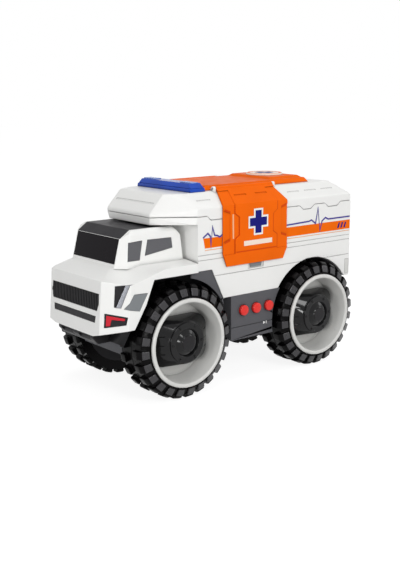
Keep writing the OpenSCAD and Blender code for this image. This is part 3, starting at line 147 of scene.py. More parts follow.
class TruckSizes(bpy.types.PropertyGroup):
    """Sizes of the rounded edges and the prints, in metres."""
    shell_edge: length("Shell edge", "Edge radius of the cab and the body", 0.0008)
    roof_edge: length("Roof edge", "Edge radius of the body's roof moulding", 0.0018)
    door_edge: length("Door edge", "Edge radius of the doors and the roof plate", 0.0005)
    trim_edge: length("Trim edge", "Edge radius of lamps, grilles and windows", 0.0003)
    chassis_edge: length("Chassis edge", "Edge radius of the chassis", 0.0006)
    tyre_edge: length("Tyre edge", "Edge radius of the tread lugs", 0.0006)
    wheel_edge: length("Wheel edge", "Edge radius of rims and hubs", 0.0007)
    ink: length("Ink", "Thickness of the printed ink", 0.00012)
    stripe_low: length("Stripe foot", "Height of the stripe's lower edge", 0.1307)
    stripe_high: length("Stripe top", "Height of the stripe's upper edge", 0.1397)
    fine_line: length("Fine line", "Height of the thin line under the stripe", 0.0006)
    pulse: length("Pulse width", "Width of the heartbeat line", 0.0013)
    # Width of the painted highlight line on a door's flank
    door_highlight: length("Door line", "Width of the pale line on a door", 0.0016)
    # Width of the lines of painted shade in a door's seams
    seam: length("Seam", "Width of the darker lines in a door's seams", 0.0009)
    door_plus: length("Door plus", "Size of the plus sign on a door", 0.021)
    badge_plus: length("Badge plus", "Size of the plus sign on the roof badge", 0.019)


def colours():
    return bpy.context.scene.truck_colours


def sizes():
    return bpy.context.scene.truck_sizes


def join(tree, node, **links):
    """Links sockets to a shader node's inputs, the spaces in an input's name written as underscores."""
    for key, socket in links.items():
        tree.links.new(socket, node.inputs[key.replace("_", " ")])


def add(tree, kind, settings=None, **links):
    """Adds a shader node, sets its values and links its inputs."""
    made = tree.nodes.new("ShaderNode" + kind)
    for key, value in (settings or {}).items():
        if key in made.inputs:
            made.inputs[key].default_value = value
        else:
            setattr(made, key, value)
    join(tree, made, **links)
    return made


def blank(name):
    """A new material with its tree, its shader and its object coordinates."""
    made = bpy.data.materials.new(name)
    made.use_nodes = True
    tree = made.node_tree
    return made, tree, tree.nodes["Principled BSDF"], add(tree, "TexCoord").outputs["Object"]


# Cloudy flow marks in a moulding, the patches of its gloss and how far they stray from the mean
FLOW_MM = 26.0
GLOSS_MM = 9.0
GLOSS_STRAY = 0.15
# Shade painted by occlusion into its grooves and creases: reach, darkest shade and rays
SHADE_REACH_MM = 4.0
SHADE_DARKEST = 0.45
SHADE_RAYS = 6
# The parts of a noise's range and of the occlusion's range that are spread over the whole effect
NOISE_SPAN = {"From Min": 0.3, "From Max": 0.7}
SHADE_SPAN = {"From Min": 0.4, "From Max": 0.92}
COAT_ROUGH = 0.05


def moulded(name, tint, rough, grain_mm, depth_mm, mottle=0.02, specular=0.5, coat=0.0):
    """An injection-moulded plastic: flow marks, shade painted into its grooves, uneven gloss and a textured
    skin.
    """
    made = bpy.data.materials.get(name)
    if made:
        return made
    made, tree, shader, place = blank(name)
    flow = add(tree, "TexNoise", {"Scale": 1 / (FLOW_MM * MM), "Detail": 2.0}, Vector=place)
    shade = add(tree, "MapRange", {**NOISE_SPAN, "To Min": 1 - mottle, "To Max": 1 + mottle},
                Value=flow.outputs[0])
    # Painted shade: the occlusion darkens the colour in grooves, creases and corners
    crevice = add(tree, "AmbientOcclusion", {"samples": SHADE_RAYS, "Distance": SHADE_REACH_MM * MM})
    painted_shade = add(tree, "MapRange", {**SHADE_SPAN, "To Min": SHADE_DARKEST},
               Value=crevice.outputs["AO"], To_Max=shade.outputs[0])
    base = add(tree, "HueSaturation", {"Color": tint}, Value=painted_shade.outputs[0])
    patches = add(tree, "TexNoise", {"Scale": 1 / (GLOSS_MM * MM), "Detail": 3.0}, Vector=place)
    spread = {"To Min": rough * (1 - GLOSS_STRAY), "To Max": rough * (1 + GLOSS_STRAY)}
    gloss = add(tree, "MapRange", {**NOISE_SPAN, **spread}, Value=patches.outputs[0])
    grain = add(tree, "TexNoise", {"Scale": 1 / (grain_mm * MM), "Detail": 2.0}, Vector=place)
    relief = add(tree, "Bump", {"Strength": 0.5, "Distance": depth_mm * MM}, Height=grain.outputs[0])
    shader.inputs["Specular IOR Level"].default_value = specular
    shader.inputs["Coat Weight"].default_value = coat
    shader.inputs["Coat Roughness"].default_value = COAT_ROUGH
    join(tree, shader, Base_Color=base.outputs["Color"], Roughness=gloss.outputs[0], Normal=relief.outputs[0])
    return made


def white_abs():
    # ABS from a polished mould: bright, even, with a soft broad sheen and faint orange peel
    return moulded("ABS_white_gloss_moulded", colours().white,
                   rough=0.34, grain_mm=1.6, depth_mm=0.012, mottle=0.008)


def orange_abs():
    # Pigmented ABS from a polished mould: saturated, a little uneven where the flow fronts met
    return moulded("ABS_orange_gloss_moulded", colours().orange,
                   rough=0.4, grain_mm=1.6, depth_mm=0.012, mottle=0.03, specular=0.025)


def dark_grey_abs():
    # ABS from a spark-eroded mould: fine pits scatter the light to a satin grey
    return moulded("ABS_dark_grey_spark_eroded", colours().dark_grey,
                   rough=0.5, grain_mm=0.7, depth_mm=0.05, mottle=0.05, specular=0.2)


def black_abs():
    # The same eroded finish in black, as on grilles and lamp housings
    return moulded("ABS_black_satin", colours().black,
                   rough=0.42, grain_mm=0.7, depth_mm=0.03, mottle=0.06, specular=0.15)


def hub_black():
    # Gloss black ABS: tight highlights over a slightly wavy skin
    return moulded("ABS_hub_black_gloss", colours().hub,
                   rough=0.1, grain_mm=2.5, depth_mm=0.02, mottle=0.04, specular=0.28)


def tinted_screen():
    # Smoke-tinted polystyrene, polished and backed in black: a dark mirror
    return moulded("Polystyrene_smoke_polished", colours().screen,
                   rough=0.2, grain_mm=3.0, depth_mm=0.008, mottle=0.03, specular=0.06)


def roof_panel_grey():
    # Satin ABS, dull enough not to mirror the white room above it
    return moulded("ABS_roof_grey_satin", colours().cab_roof,
                   rough=0.38, grain_mm=0.9, depth_mm=0.02, mottle=0.03, specular=0.06)


def window_grey():
    # Grey polystyrene pane, gloss outside
    return moulded("Polystyrene_grey_pane", colours().window,
                   rough=0.18, grain_mm=3.0, depth_mm=0.008, mottle=0.03, specular=0.3)


def mid_grey_abs():
    # Satin grey ABS, plain and unpainted
    return moulded("ABS_mid_grey_satin", colours().mid_grey,
                   rough=0.45, grain_mm=0.8, depth_mm=0.03, mottle=0.03)


def light_grey_abs():
    # Rims and markers: light grey ABS with a satin gloss
    return moulded("ABS_light_grey_satin_gloss", colours().light_grey,
                   rough=0.32, grain_mm=1.4, depth_mm=0.012, mottle=0.015)


def button_red():
    # Gloss red ABS: small tight highlights on a pressed cap
    return moulded("ABS_red_gloss_moulded", colours().button,
                   rough=0.22, grain_mm=1.8, depth_mm=0.01, mottle=0.03, specular=0.25)


def red_lens():
    # Clear red polystyrene over a pale back: deep colour under a hard gloss
    return moulded("Polystyrene_red_lens", colours().red_lens,
                   rough=0.1, grain_mm=2.2, depth_mm=0.02, mottle=0.05, specular=0.2, coat=0.15)


def blue_lens():
    # Clear blue polystyrene, prism-ribbed inside: lighter and darker streaks under a hard gloss
    return moulded("Polystyrene_blue_lens", colours().blue,
                   rough=0.14, grain_mm=2.2, depth_mm=0.02, mottle=0.12, specular=0.2, coat=0.1)


def blue_rib_glint():
    # The lens's prisms, polished, in a paler blue than the lens: a painted glint along each rib
    return moulded("Polystyrene_blue_prism_glint", colours().blue_rib_glint,
                   rough=0.1, grain_mm=2.2, depth_mm=0.02, mottle=0.15, specular=0.4, coat=0.2)


def cream_abs():
    # Pale ABS from a polished mould, under the badge's print
    return moulded("ABS_cream_gloss", colours().cream, rough=0.3, grain_mm=1.6, depth_mm=0.012)


def acetal():
    # Acetal gears: waxy off-white
    return moulded("Acetal_gear_natural", colours().acetal,
                   rough=0.4, grain_mm=0.8, depth_mm=0.01, mottle=0.02)


def speaker_cone():
    # Pressed black paper
    return moulded("Speaker_paper_black", colours().black,
                   rough=0.85, grain_mm=0.5, depth_mm=0.06, mottle=0.12, specular=0.2)


def ink(name, tint):
    """Pad-printed ink: a thin even film with pinholes too fine to see, drawn as a faint mottle."""
    return moulded("Ink_" + name, tint,
                   rough=0.36, grain_mm=0.5, depth_mm=0.006, mottle=0.03, specular=0.06)


def tyre_pvc():
    # Soft PVC, black and a little greasy: a broad sheen over a fine matt texture
    return moulded("PVC_tyre_black", colours().tyre,
                   rough=0.25, grain_mm=0.9, depth_mm=0.02, mottle=0.1, specular=0.07)


def lug_sheen_pvc():
    # The same PVC in a paler grey: a painted sheen on the shoulder of the tread
    return moulded("PVC_tyre_painted_sheen", colours().tyre_sheen,
                   rough=0.26, grain_mm=0.9, depth_mm=0.02, mottle=0.12, specular=0.45)


def metallised():
    # Vacuum-metallised plastic: a bright film that shows the moulding's waves
    made = moulded("Plastic_vacuum_metallised", colours().silver,
                   rough=0.24, grain_mm=2.0, depth_mm=0.02, mottle=0.05)
    made.node_tree.nodes["Principled BSDF"].inputs["Metallic"].default_value = 0.85
    return made


# Plated steel: grain of its drawing lines, how far they are drawn out, their gloss and their depth
STEEL_GRAIN_MM = 6.0
STEEL_DRAW = 14.0
STEEL_GLOSS = {"To Min": 0.2, "To Max": 0.45}
STEEL_DEPTH_MM = 0.01


def steel():
    # Drawn and zinc-plated steel: fine drawing lines along the rod
    made = bpy.data.materials.get("Steel_zinc_plated")
    if made:
        return made
    made, tree, shader, place = blank("Steel_zinc_plated")
    lines = add(tree, "Mapping", {"Scale": (1.0, STEEL_DRAW, STEEL_DRAW)}, Vector=place)
    drawn = add(tree, "TexNoise", {"Scale": 1 / (STEEL_GRAIN_MM * MM), "Detail": 3.0},
                Vector=lines.outputs[0])
    gloss = add(tree, "MapRange", STEEL_GLOSS, Value=drawn.outputs[0])
    relief = add(tree, "Bump", {"Strength": 0.3, "Distance": STEEL_DEPTH_MM * MM}, Height=drawn.outputs[0])
    shader.inputs["Base Color"].default_value = colours().steel
    shader.inputs["Metallic"].default_value = 1.0
    join(tree, shader, Roughness=gloss.outputs[0], Normal=relief.outputs[0])
    return made


# Circuit board: one repeat of its pattern, which is four tracks, and the tint and relief of the tracks
BOARD_REPEAT_MM = 6.0
TRACK_TINT = "#7fae6a"
TRACK_DEPTH_MM = 0.05


def circuit_board():
    # Glass-epoxy board under green solder resist, with copper tracks 1.5 mm apart
    made = bpy.data.materials.get("Board_green_resist")
    if made:
        return made
    made, tree, shader, place = blank("Board_green_resist")
    resist = colours().board
    pattern = {"Scale": 1 / (BOARD_REPEAT_MM * MM), "Mortar Size": 0.06, "Color1": resist, "Color2": resist,
               "Mortar": linear(TRACK_TINT)}
    tracks = add(tree, "TexBrick", pattern, Vector=place)
    relief = add(tree, "Bump", {"Strength": 0.4, "Distance": TRACK_DEPTH_MM * MM},
                 Height=tracks.outputs["Fac"])
    shader.inputs["Roughness"].default_value = 0.35
    join(tree, shader, Base_Color=tracks.outputs["Color"], Normal=relief.outputs[0])
    return made


# Sleeve of a cell: where its end band starts along x, how soft that edge is, its tint, and the wrinkles
BAND_MM = 14.0
BAND_SOFT_MM = 0.1
BAND_TINT = "#a86a38"
WRINKLE_MM = 5.0
WRINKLE_DEPTH_MM = 0.05


def cell_jacket():
    # Shrink-wrapped cell: a grey sleeve with a copper-coloured band at one end
    made = bpy.data.materials.get("Cell_shrink_sleeve")
    if made:
        return made
    made, tree, shader, place = blank("Cell_shrink_sleeve")
    across = add(tree, "SeparateXYZ", Vector=place)
    edge = {"From Min": (BAND_MM - BAND_SOFT_MM) * MM, "From Max": (BAND_MM + BAND_SOFT_MM) * MM}
    band = add(tree, "MapRange", edge, Value=across.outputs["X"])
    tint = add(tree, "MixRGB", {"Color1": colours().jacket, "Color2": linear(BAND_TINT)}, Fac=band.outputs[0])
    wrinkle = add(tree, "TexNoise", {"Scale": 1 / (WRINKLE_MM * MM), "Detail": 3.0}, Vector=place)
    relief = add(tree, "Bump", {"Strength": 0.3, "Distance": WRINKLE_DEPTH_MM * MM},
                 Height=wrinkle.outputs[0])
    shader.inputs["Roughness"].default_value = 0.25
    join(tree, shader, Base_Color=tint.outputs["Color"], Normal=relief.outputs[0])
    return made


def activate(piece):
    """Makes one object the only selected one."""
    bpy.ops.object.select_all(action="DESELECT")
    piece.select_set(True)
    bpy.context.view_layer.objects.active = piece


def apply_modifier(piece, kind, **settings):
    """Adds a modifier, sets it and applies it at once."""
    made = piece.modifiers.new(kind.lower(), kind)
    for key, value in settings.items():
        setattr(made, key, value)
    activate(piece)
    bpy.ops.object.modifier_apply(modifier=made.name)


def paint(piece, material):
    piece.data.materials.clear()
    piece.data.materials.append(material)


def smooth(piece, angle=32.0):
    """Smooth shading broken at real edges, with flat faces kept flat."""
    activate(piece)
    bpy.ops.object.shade_smooth_by_angle(angle=radians(angle))
    apply_modifier(piece, "WEIGHTED_NORMAL", keep_sharp=True)


# Distances to weld in mouldings and in prints
WELD = 0.01 * MM
INK_WELD = WELD / 10
# Least angle of an edge to round, greatest angle between faces of one flat wall, share of the free width for
# a rounding, and the cosine from which two edges run on in one line
SHARP = radians(24.0)
FLAT = radians(0.6)
EDGE_ROOM = 0.42
ALONG = 0.93


def edge_room(edge, width):
    """The widest rounding an edge can take before it meets another edge of its own two faces."""
    start, end = edge.verts
    run = end.co - start.co
    span = run.length
    run.normalize()
    room = width
    for corner in edge.verts:
        for other in corner.link_edges:
            step = other.other_vert(corner).co - corner.co
            if other is not edge and step.length > 0 and abs(step.normalized().dot(run)) < ALONG:
                room = min(room, (step - run * step.dot(run)).length * EDGE_ROOM)
    for face in edge.link_faces:
        for corner in face.verts:
            step = corner.co - start.co
            along = step.dot(run)
            if corner not in edge.verts and 0 < along < span:
                room = min(room, (step - run * along).length * EDGE_ROOM)
    return room


def weigh_edges(mesh, width):
    """Bevel weights: full on sharp edges, less where a neighbouring edge leaves no room."""
    work = bmesh.new()
    work.from_mesh(mesh)
    weight = work.edges.layers.float.new("bevel_weight_edge")
    for edge in work.edges:
        if len(edge.link_faces) == 2 and edge.calc_face_angle(0.0) > SHARP:
            edge[weight] = edge_room(edge, width) / width
    work.to_mesh(mesh)
    work.free()


def soften(node, material, width, segments=2, merge=False):
    """A welded copy of a CAD node with rounded edges, which stands for it; merge joins flat walls first."""
    source = frame["nodes"][node]
    piece = bpy.data.objects.new(node + "_moulding", source.data.copy())
    bpy.context.collection.objects.link(piece)
    activate(piece)
    bpy.ops.mesh.customdata_custom_splitnormals_clear()
    bpy.ops.object.mode_set(mode="EDIT")
    bpy.ops.mesh.select_all(action="SELECT")
    bpy.ops.mesh.remove_doubles(threshold=WELD)
    if merge:
        bpy.ops.mesh.dissolve_limited(angle_limit=FLAT)
    bpy.ops.object.mode_set(mode="OBJECT")
    weigh_edges(piece.data, width)
    apply_modifier(piece, "BEVEL", limit_method="WEIGHT", width=width, segments=segments,
                   use_clamp_overlap=False, loop_slide=False)
    smooth(piece)
    paint(piece, material)
    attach(piece, source["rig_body"])
    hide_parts(node)


def dress(nodes, material):
    """Gives CAD nodes that stay as they are their material."""
    for node in nodes:
        paint(frame["nodes"][node], material)


def on_side(side, x):
    """The plane of a side wall for a print drawn along the truck and up."""
    return Matrix(((0, 0, side, side * x), (1, 0, 0, 0), (0, 1, 0, 0), (0, 0, 0, 1)))


def on_top(z):
    """The plane of the roof for a print drawn across and along the truck."""
    return Matrix.Translation((0, 0, z))


def flat_print(name, loops, place, thick, material, body):
    """A printed patch: closed outlines filled flat, as thick as their ink and laid in their plane."""
    sheet = bpy.data.curves.new(name, "CURVE")
    sheet.dimensions = "2D"
    sheet.fill_mode = "BOTH"
    sheet.extrude = thick
    for loop in loops:
        line = sheet.splines.new("POLY")
        line.points.add(len(loop) - 1)
        line.use_cyclic_u = True
        for point, (u, v) in zip(line.points, loop):
            point.co = (u, v, 0.0, 1.0)
    piece = bpy.data.objects.new(name, sheet)
    bpy.context.collection.objects.link(piece)
    activate(piece)
    bpy.ops.object.convert(target="MESH")
    piece = bpy.context.object
    piece.data.transform(place)
    bpy.ops.object.mode_set(mode="EDIT")
    bpy.ops.mesh.select_all(action="SELECT")
    bpy.ops.mesh.remove_doubles(threshold=INK_WELD)
    bpy.ops.mesh.normals_make_consistent(inside=False)
    bpy.ops.object.mode_set(mode="OBJECT")
    paint(piece, material)
    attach(piece, body)


def ribbon(points, width, sharpest=2.5):
    """The outline of a line of even width along a path, its corners mitred up to a limit."""
    left, right = [], []
    for i, point in enumerate(points):
        legs = [Vector(points[j + 1]) - Vector(points[j]) for j in (i - 1, i) if 0 <= j < len(points) - 1]
        sides = [Vector((-leg.y, leg.x)).normalized() for leg in legs]
        across = (sides[0] + sides[-1]).normalized()
        reach = width / 2 / max(1 / sharpest, across.dot(sides[0]))
        left.append(Vector(point) + across * reach)
        right.append(Vector(point) - across * reach)
    return [tuple(corner) for corner in left + right[::-1]]


def circle(radius, centre, count=72):
    """A circle as a closed outline."""
    return [(centre[0] + radius * cos(2 * pi * i / count), centre[1] + radius * sin(2 * pi * i / count))
            for i in range(count)]


def plus(centre, size, arm_share=0.36):
    """A plain plus sign, its arms a share of its size."""
    a, b = size * arm_share / 2, size / 2
    corners = ((b, a), (a, a), (a, b), (-a, b), (-a, a), (-b, a),
               (-b, -a), (-a, -a), (-a, -b), (a, -b), (a, -a), (b, -a))
    return [(centre[0] + u, centre[1] + v) for u, v in corners]


def scaled(points):
    """Points in millimetres as points in metres."""
    return [(u * MM, v * MM) for u, v in points]


class ToolBase:
    """What every step of the build shares."""
    bl_options = {"REGISTER", "UNDO"}


class TRUCK_OT_stage(ToolBase, bpy.types.Operator):
    """Builds the floor, the world, the softboxes and the camera"""
    bl_idname = "truck.stage"
    bl_label = "Studio stage"

    # Camera solved from the photograph: place in metres, angles in degrees, lens in millimetres
    camera_at = (0.66719, -0.54012, 0.26530)
    camera_azimuth = 51.18
    camera_elevation = 12.02
    camera_roll = -0.29
    camera_lens = 57.07
    camera_sensor = 36.0
    camera_near = 0.01
    # Floor: half width, greys of its paper as the truck and as the eye see it, and its glow for the eye
    floor_half = 6.0
    paper_bounce = 0.72
    paper_shown = 0.3
    paper_glow = 0.88
    # Strength of the world's light, and the height that the softboxes aim at
    ambient = 0.4
    aim_height = 0.09
    # Softboxes: name, place, size and power
    softboxes = (
        ("side_box", (1.42, -0.35, 1.0), 0.5, 8.1),
        ("low_box", (1.15, -0.62, 0.12), 0.2, 2.4),
        ("back_box", (0.6, 1.5, 0.9), 0.7, 3.4),
        ("front_box", (0.4, -1.45, 0.28), 0.3, 3.2),
        ("top_box", (0.1, 0.1, 1.7), 0.9, 4.6),
    )

    def execute(self, context):
        scene = context.scene
        scene.view_settings.view_transform = "Standard"
        self.build_world(scene)
        self.build_floor()
        for name, at, size, power in self.softboxes:
            aim = (Vector((0, 0, self.aim_height)) - Vector(at)).to_track_quat("-Z", "Y").to_euler()
            bpy.ops.object.light_add(type="AREA", location=at, rotation=aim)
            lamp = context.object
            lamp.name = name
            lamp.data.size = size
            lamp.data.energy = power
        self.build_camera(scene)
        return {"FINISHED"}

    def split_rays(self, tree, lighting, shown, output):
        """Gives the rays that light the truck one shader and those that see the backdrop another."""
        path = add(tree, "LightPath")
        sight = path.outputs["Is Camera Ray"]
        for ray in ("Is Glossy Ray", "Is Transmission Ray"):
            both = add(tree, "Math", {"operation": "MAXIMUM"})
            tree.links.new(sight, both.inputs[0])
            tree.links.new(path.outputs[ray], both.inputs[1])
            sight = both.outputs[0]
        mix = add(tree, "MixShader", Fac=sight)
        tree.links.new(lighting.outputs[0], mix.inputs[1])
        tree.links.new(shown.outputs[0], mix.inputs[2])
        join(tree, tree.nodes[output], Surface=mix.outputs[0])

    def build_world(self, scene):
        world = bpy.data.worlds.new("studio")
        scene.world = world
        world.use_nodes = True
        tree = world.node_tree
        glow = tree.nodes["Background"]
        glow.inputs["Color"].default_value = grey(1.0)
        glow.inputs["Strength"].default_value = self.ambient
        white = add(tree, "Background", {"Color": grey(1.0), "Strength": 1.0})
        self.split_rays(tree, glow, white, "World Output")

    def build_floor(self):
        bpy.ops.mesh.primitive_plane_add(size=2 * self.floor_half, location=(0, 0, 0))
        floor = bpy.context.object
        floor.name = "studio_floor"
        made = bpy.data.materials.new("Paper_white_seamless")
        made.use_nodes = True
        tree = made.node_tree
        tree.nodes.remove(tree.nodes["Principled BSDF"])
        # Seamless paper: reads white to the eye, keeps the shadow, and bounces plain light up
        paper = add(tree, "BsdfDiffuse", {"Color": grey(self.paper_bounce)})
        shadow = add(tree, "BsdfDiffuse", {"Color": grey(self.paper_shown)})
        glow = add(tree, "Emission", {"Color": grey(1.0), "Strength": self.paper_glow})
        shown = add(tree, "AddShader")
        tree.links.new(shadow.outputs[0], shown.inputs[0])
        tree.links.new(glow.outputs[0], shown.inputs[1])
        self.split_rays(tree, paper, shown, "Material Output")
        floor.data.materials.append(made)

    def build_camera(self, scene):
        azimuth, elevation = radians(self.camera_azimuth), radians(self.camera_elevation)
        back = Vector((sin(azimuth) * cos(elevation), -cos(azimuth) * cos(elevation), sin(elevation)))
        turn = back.to_track_quat("Z", "Y").to_matrix() @ Matrix.Rotation(radians(self.camera_roll), 3, "Z")
        bpy.ops.object.camera_add(location=self.camera_at, rotation=turn.to_euler())
        camera = bpy.context.object
        camera.name = "photo_camera"
        camera.data.sensor_width = self.camera_sensor
        camera.data.lens = self.camera_lens
        camera.data.clip_start = self.camera_near
        scene.camera = camera


class TRUCK_OT_cab(ToolBase, bpy.types.Operator):
    """Rounds the cab's shell and dresses its glass, lamps, grilles and skid"""
    bl_idname = "truck.cab"
    bl_label = "Cab"

    # Share of the shell's edge radius that the cab's narrow pillars leave room for
    shell_share = 0.6

    def execute(self, context):
        shell, trim = sizes().shell_edge, sizes().trim_edge
        soften("cab_shell", white_abs(), self.shell_share * shell, 3)
        soften("windscreen", tinted_screen(), trim)
        soften("cab_roof", roof_panel_grey(), 2 * trim)
        soften("side_windows", window_grey(), trim)
        for node in ("upper_grille", "lower_grille", "headlamps", "fog_bezels"):
            soften(node, black_abs(), trim / 2)
        soften("front_skid", black_abs(), 2 * trim)
        soften("headlamp_strips", metallised(), trim)
        soften("fog_lenses", red_lens(), trim / 2)
        soften("wing_inserts", mid_grey_abs(), trim)
        soften("arch_fillers", dark_grey_abs(), trim)
        return {"FINISHED"}


class TRUCK_OT_body(ToolBase, bpy.types.Operator):
    """Rounds the body and its roof, and dresses its markers, tail lamps and load floor"""
    bl_idname = "truck.body"
    bl_label = "Body"

    # Share of the shell's edge radius that the body's thin walls leave room for
    shell_share = 0.75

    def execute(self, context):
        shell, trim = sizes().shell_edge, sizes().trim_edge
        soften("box_lower", white_abs(), self.shell_share * shell, merge=True)
        soften("box_roof", white_abs(), sizes().roof_edge, 3)
        soften("rear_markers", light_grey_abs(), trim)
        soften("tail_lamps", red_lens(), 2 * trim)
        soften("cargo_floor", mid_grey_abs(), trim)
        return {"FINISHED"}


# Painted shade in the finger notch under a door, laid as a grey plate: outline along the truck and up, place
# and half thickness, in millimetres
FINGER_NOTCH_SHADE = ((9.5, 113.0), (25.1, 113.0), (24.0, 107.4), (10.6, 107.4))
FINGER_NOTCH_SHADE_X = 57.0
FINGER_NOTCH_SHADE_HALF = 0.25


class TRUCK_OT_doors(ToolBase, bpy.types.Operator):
    """Rounds the two lifting doors, dresses their hinge pins and lays grey plates of painted shade in their
    notches
    """
    bl_idname = "truck.doors"
    bl_label = "Doors"

    def execute(self, context):
        for side in SIDES:
            soften("door_" + side, orange_abs(), sizes().door_edge)
            dress(["hinge_pin_" + side], steel())
        for side, sign in SIDES.items():
            flat_print("finger_notch_shade_" + side, [scaled(FINGER_NOTCH_SHADE)], on_side(sign, FINGER_NOTCH_SHADE_X * MM),
                       FINGER_NOTCH_SHADE_HALF * MM, mid_grey_abs(), "truck")
        return {"FINISHED"}


class TRUCK_OT_roof_fittings(ToolBase, bpy.types.Operator):
    """Rounds the roof plate, its badge and the light bar, and ribs the bar's lens with paler painted glints
    """
    bl_idname = "truck.roof_fittings"
    bl_label = "Roof fittings"

    # The roof plate's edge radius, in edge radii of a door
    plate_share = 1.6
    # Ribs of the light bar's lens: lengths in millimetres, and the inset as a share of the lens's depth
    rib_count = 5
    rib_start = 4.0
    rib_pitch = 3.6
    rib_width = 2.0
    rib_rise = 0.7
    rib_inset = 0.24

    def execute(self, context):
        edge = sizes().door_edge
        soften("roof_plate", orange_abs(), self.plate_share * edge, 3)
        soften("roof_badge", cream_abs(), edge)
        soften("light_bar_base", blue_lens(), edge)
        soften("light_bar_lens", blue_lens(), edge, 3)
        self.rib_lens()
        dress(["light_board"], circuit_board())
        return {"FINISHED"}

    def rib_lens(self):
        """Moulded ribs across the lens, in a group at each end, paler than the lens as painted glints"""
        low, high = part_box("light_bar_lens")
        inset = (high.y - low.y) * self.rib_inset
        ribs = []
        for sign in SIDES.values():
            for i in range(self.rib_count):
                a = sign * (high.x - (self.rib_start + i * self.rib_pitch) * MM)
                b = a - sign * self.rib_width * MM
                front, back = low.y + inset, high.y - inset
                ribs.append([(a, front), (b, front), (b, back), (a, back)])
        flat_print("light_bar_ribs", ribs, on_top(high.z), self.rib_rise * MM, blue_rib_glint(), "truck")


class TRUCK_OT_chassis(ToolBase, bpy.types.Operator):
    """Rounds the chassis, its battery door and its push buttons"""
    bl_idname = "truck.chassis"
    bl_label = "Chassis"

    # A button's edge radius, in edge radii of the trim
    button_share = 1.5
    # Dome on a push button: a share of the button's radius, its rise and sink in millimetres, and its facets
    crown_share = 0.86
    crown_rise = 1.1
    crown_sink = 0.1
    crown_segments = 48

    def execute(self, context):
        edge, trim = sizes().chassis_edge, sizes().trim_edge
        soften("chassis_pan", dark_grey_abs(), edge)
        soften("battery_door", dark_grey_abs(), trim)
        for place in ("front", "middle", "rear"):
            soften("button_" + place, button_red(), self.button_share * trim, 3)
            self.crown_button(place)
        dress(["battery_door_screw", "case_screws"], steel())
        return {"FINISHED"}

    def crown_button(self, place):
        """A shallow dome on the face of a push button"""
        low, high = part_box("button_" + place)
        middle = (low + high) / 2
        radius = (high.z - low.z) / 2 * self.crown_share
        bpy.ops.object.select_all(action="DESELECT")
        bpy.ops.mesh.primitive_uv_sphere_add(
            segments=self.crown_segments, ring_count=self.crown_segments // 2, radius=radius,
            location=(high.x, middle.y, middle.z), rotation=(0, pi / 2, 0),
            scale=(1.0, 1.0, self.crown_rise * MM / radius))
        piece = bpy.context.object
        piece.name = f"button_{place}_crown"
        bpy.ops.object.transform_apply(location=True, rotation=True, scale=True)
        bpy.ops.object.mode_set(mode="EDIT")
        bpy.ops.mesh.select_all(action="SELECT")
        bpy.ops.mesh.bisect(plane_co=(high.x - self.crown_sink * MM, 0, 0), plane_no=(1, 0, 0), use_fill=True,
                            clear_inner=True)
        bpy.ops.object.mode_set(mode="OBJECT")
        smooth(piece)
        paint(piece, button_red())
        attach(piece, place + "_button")


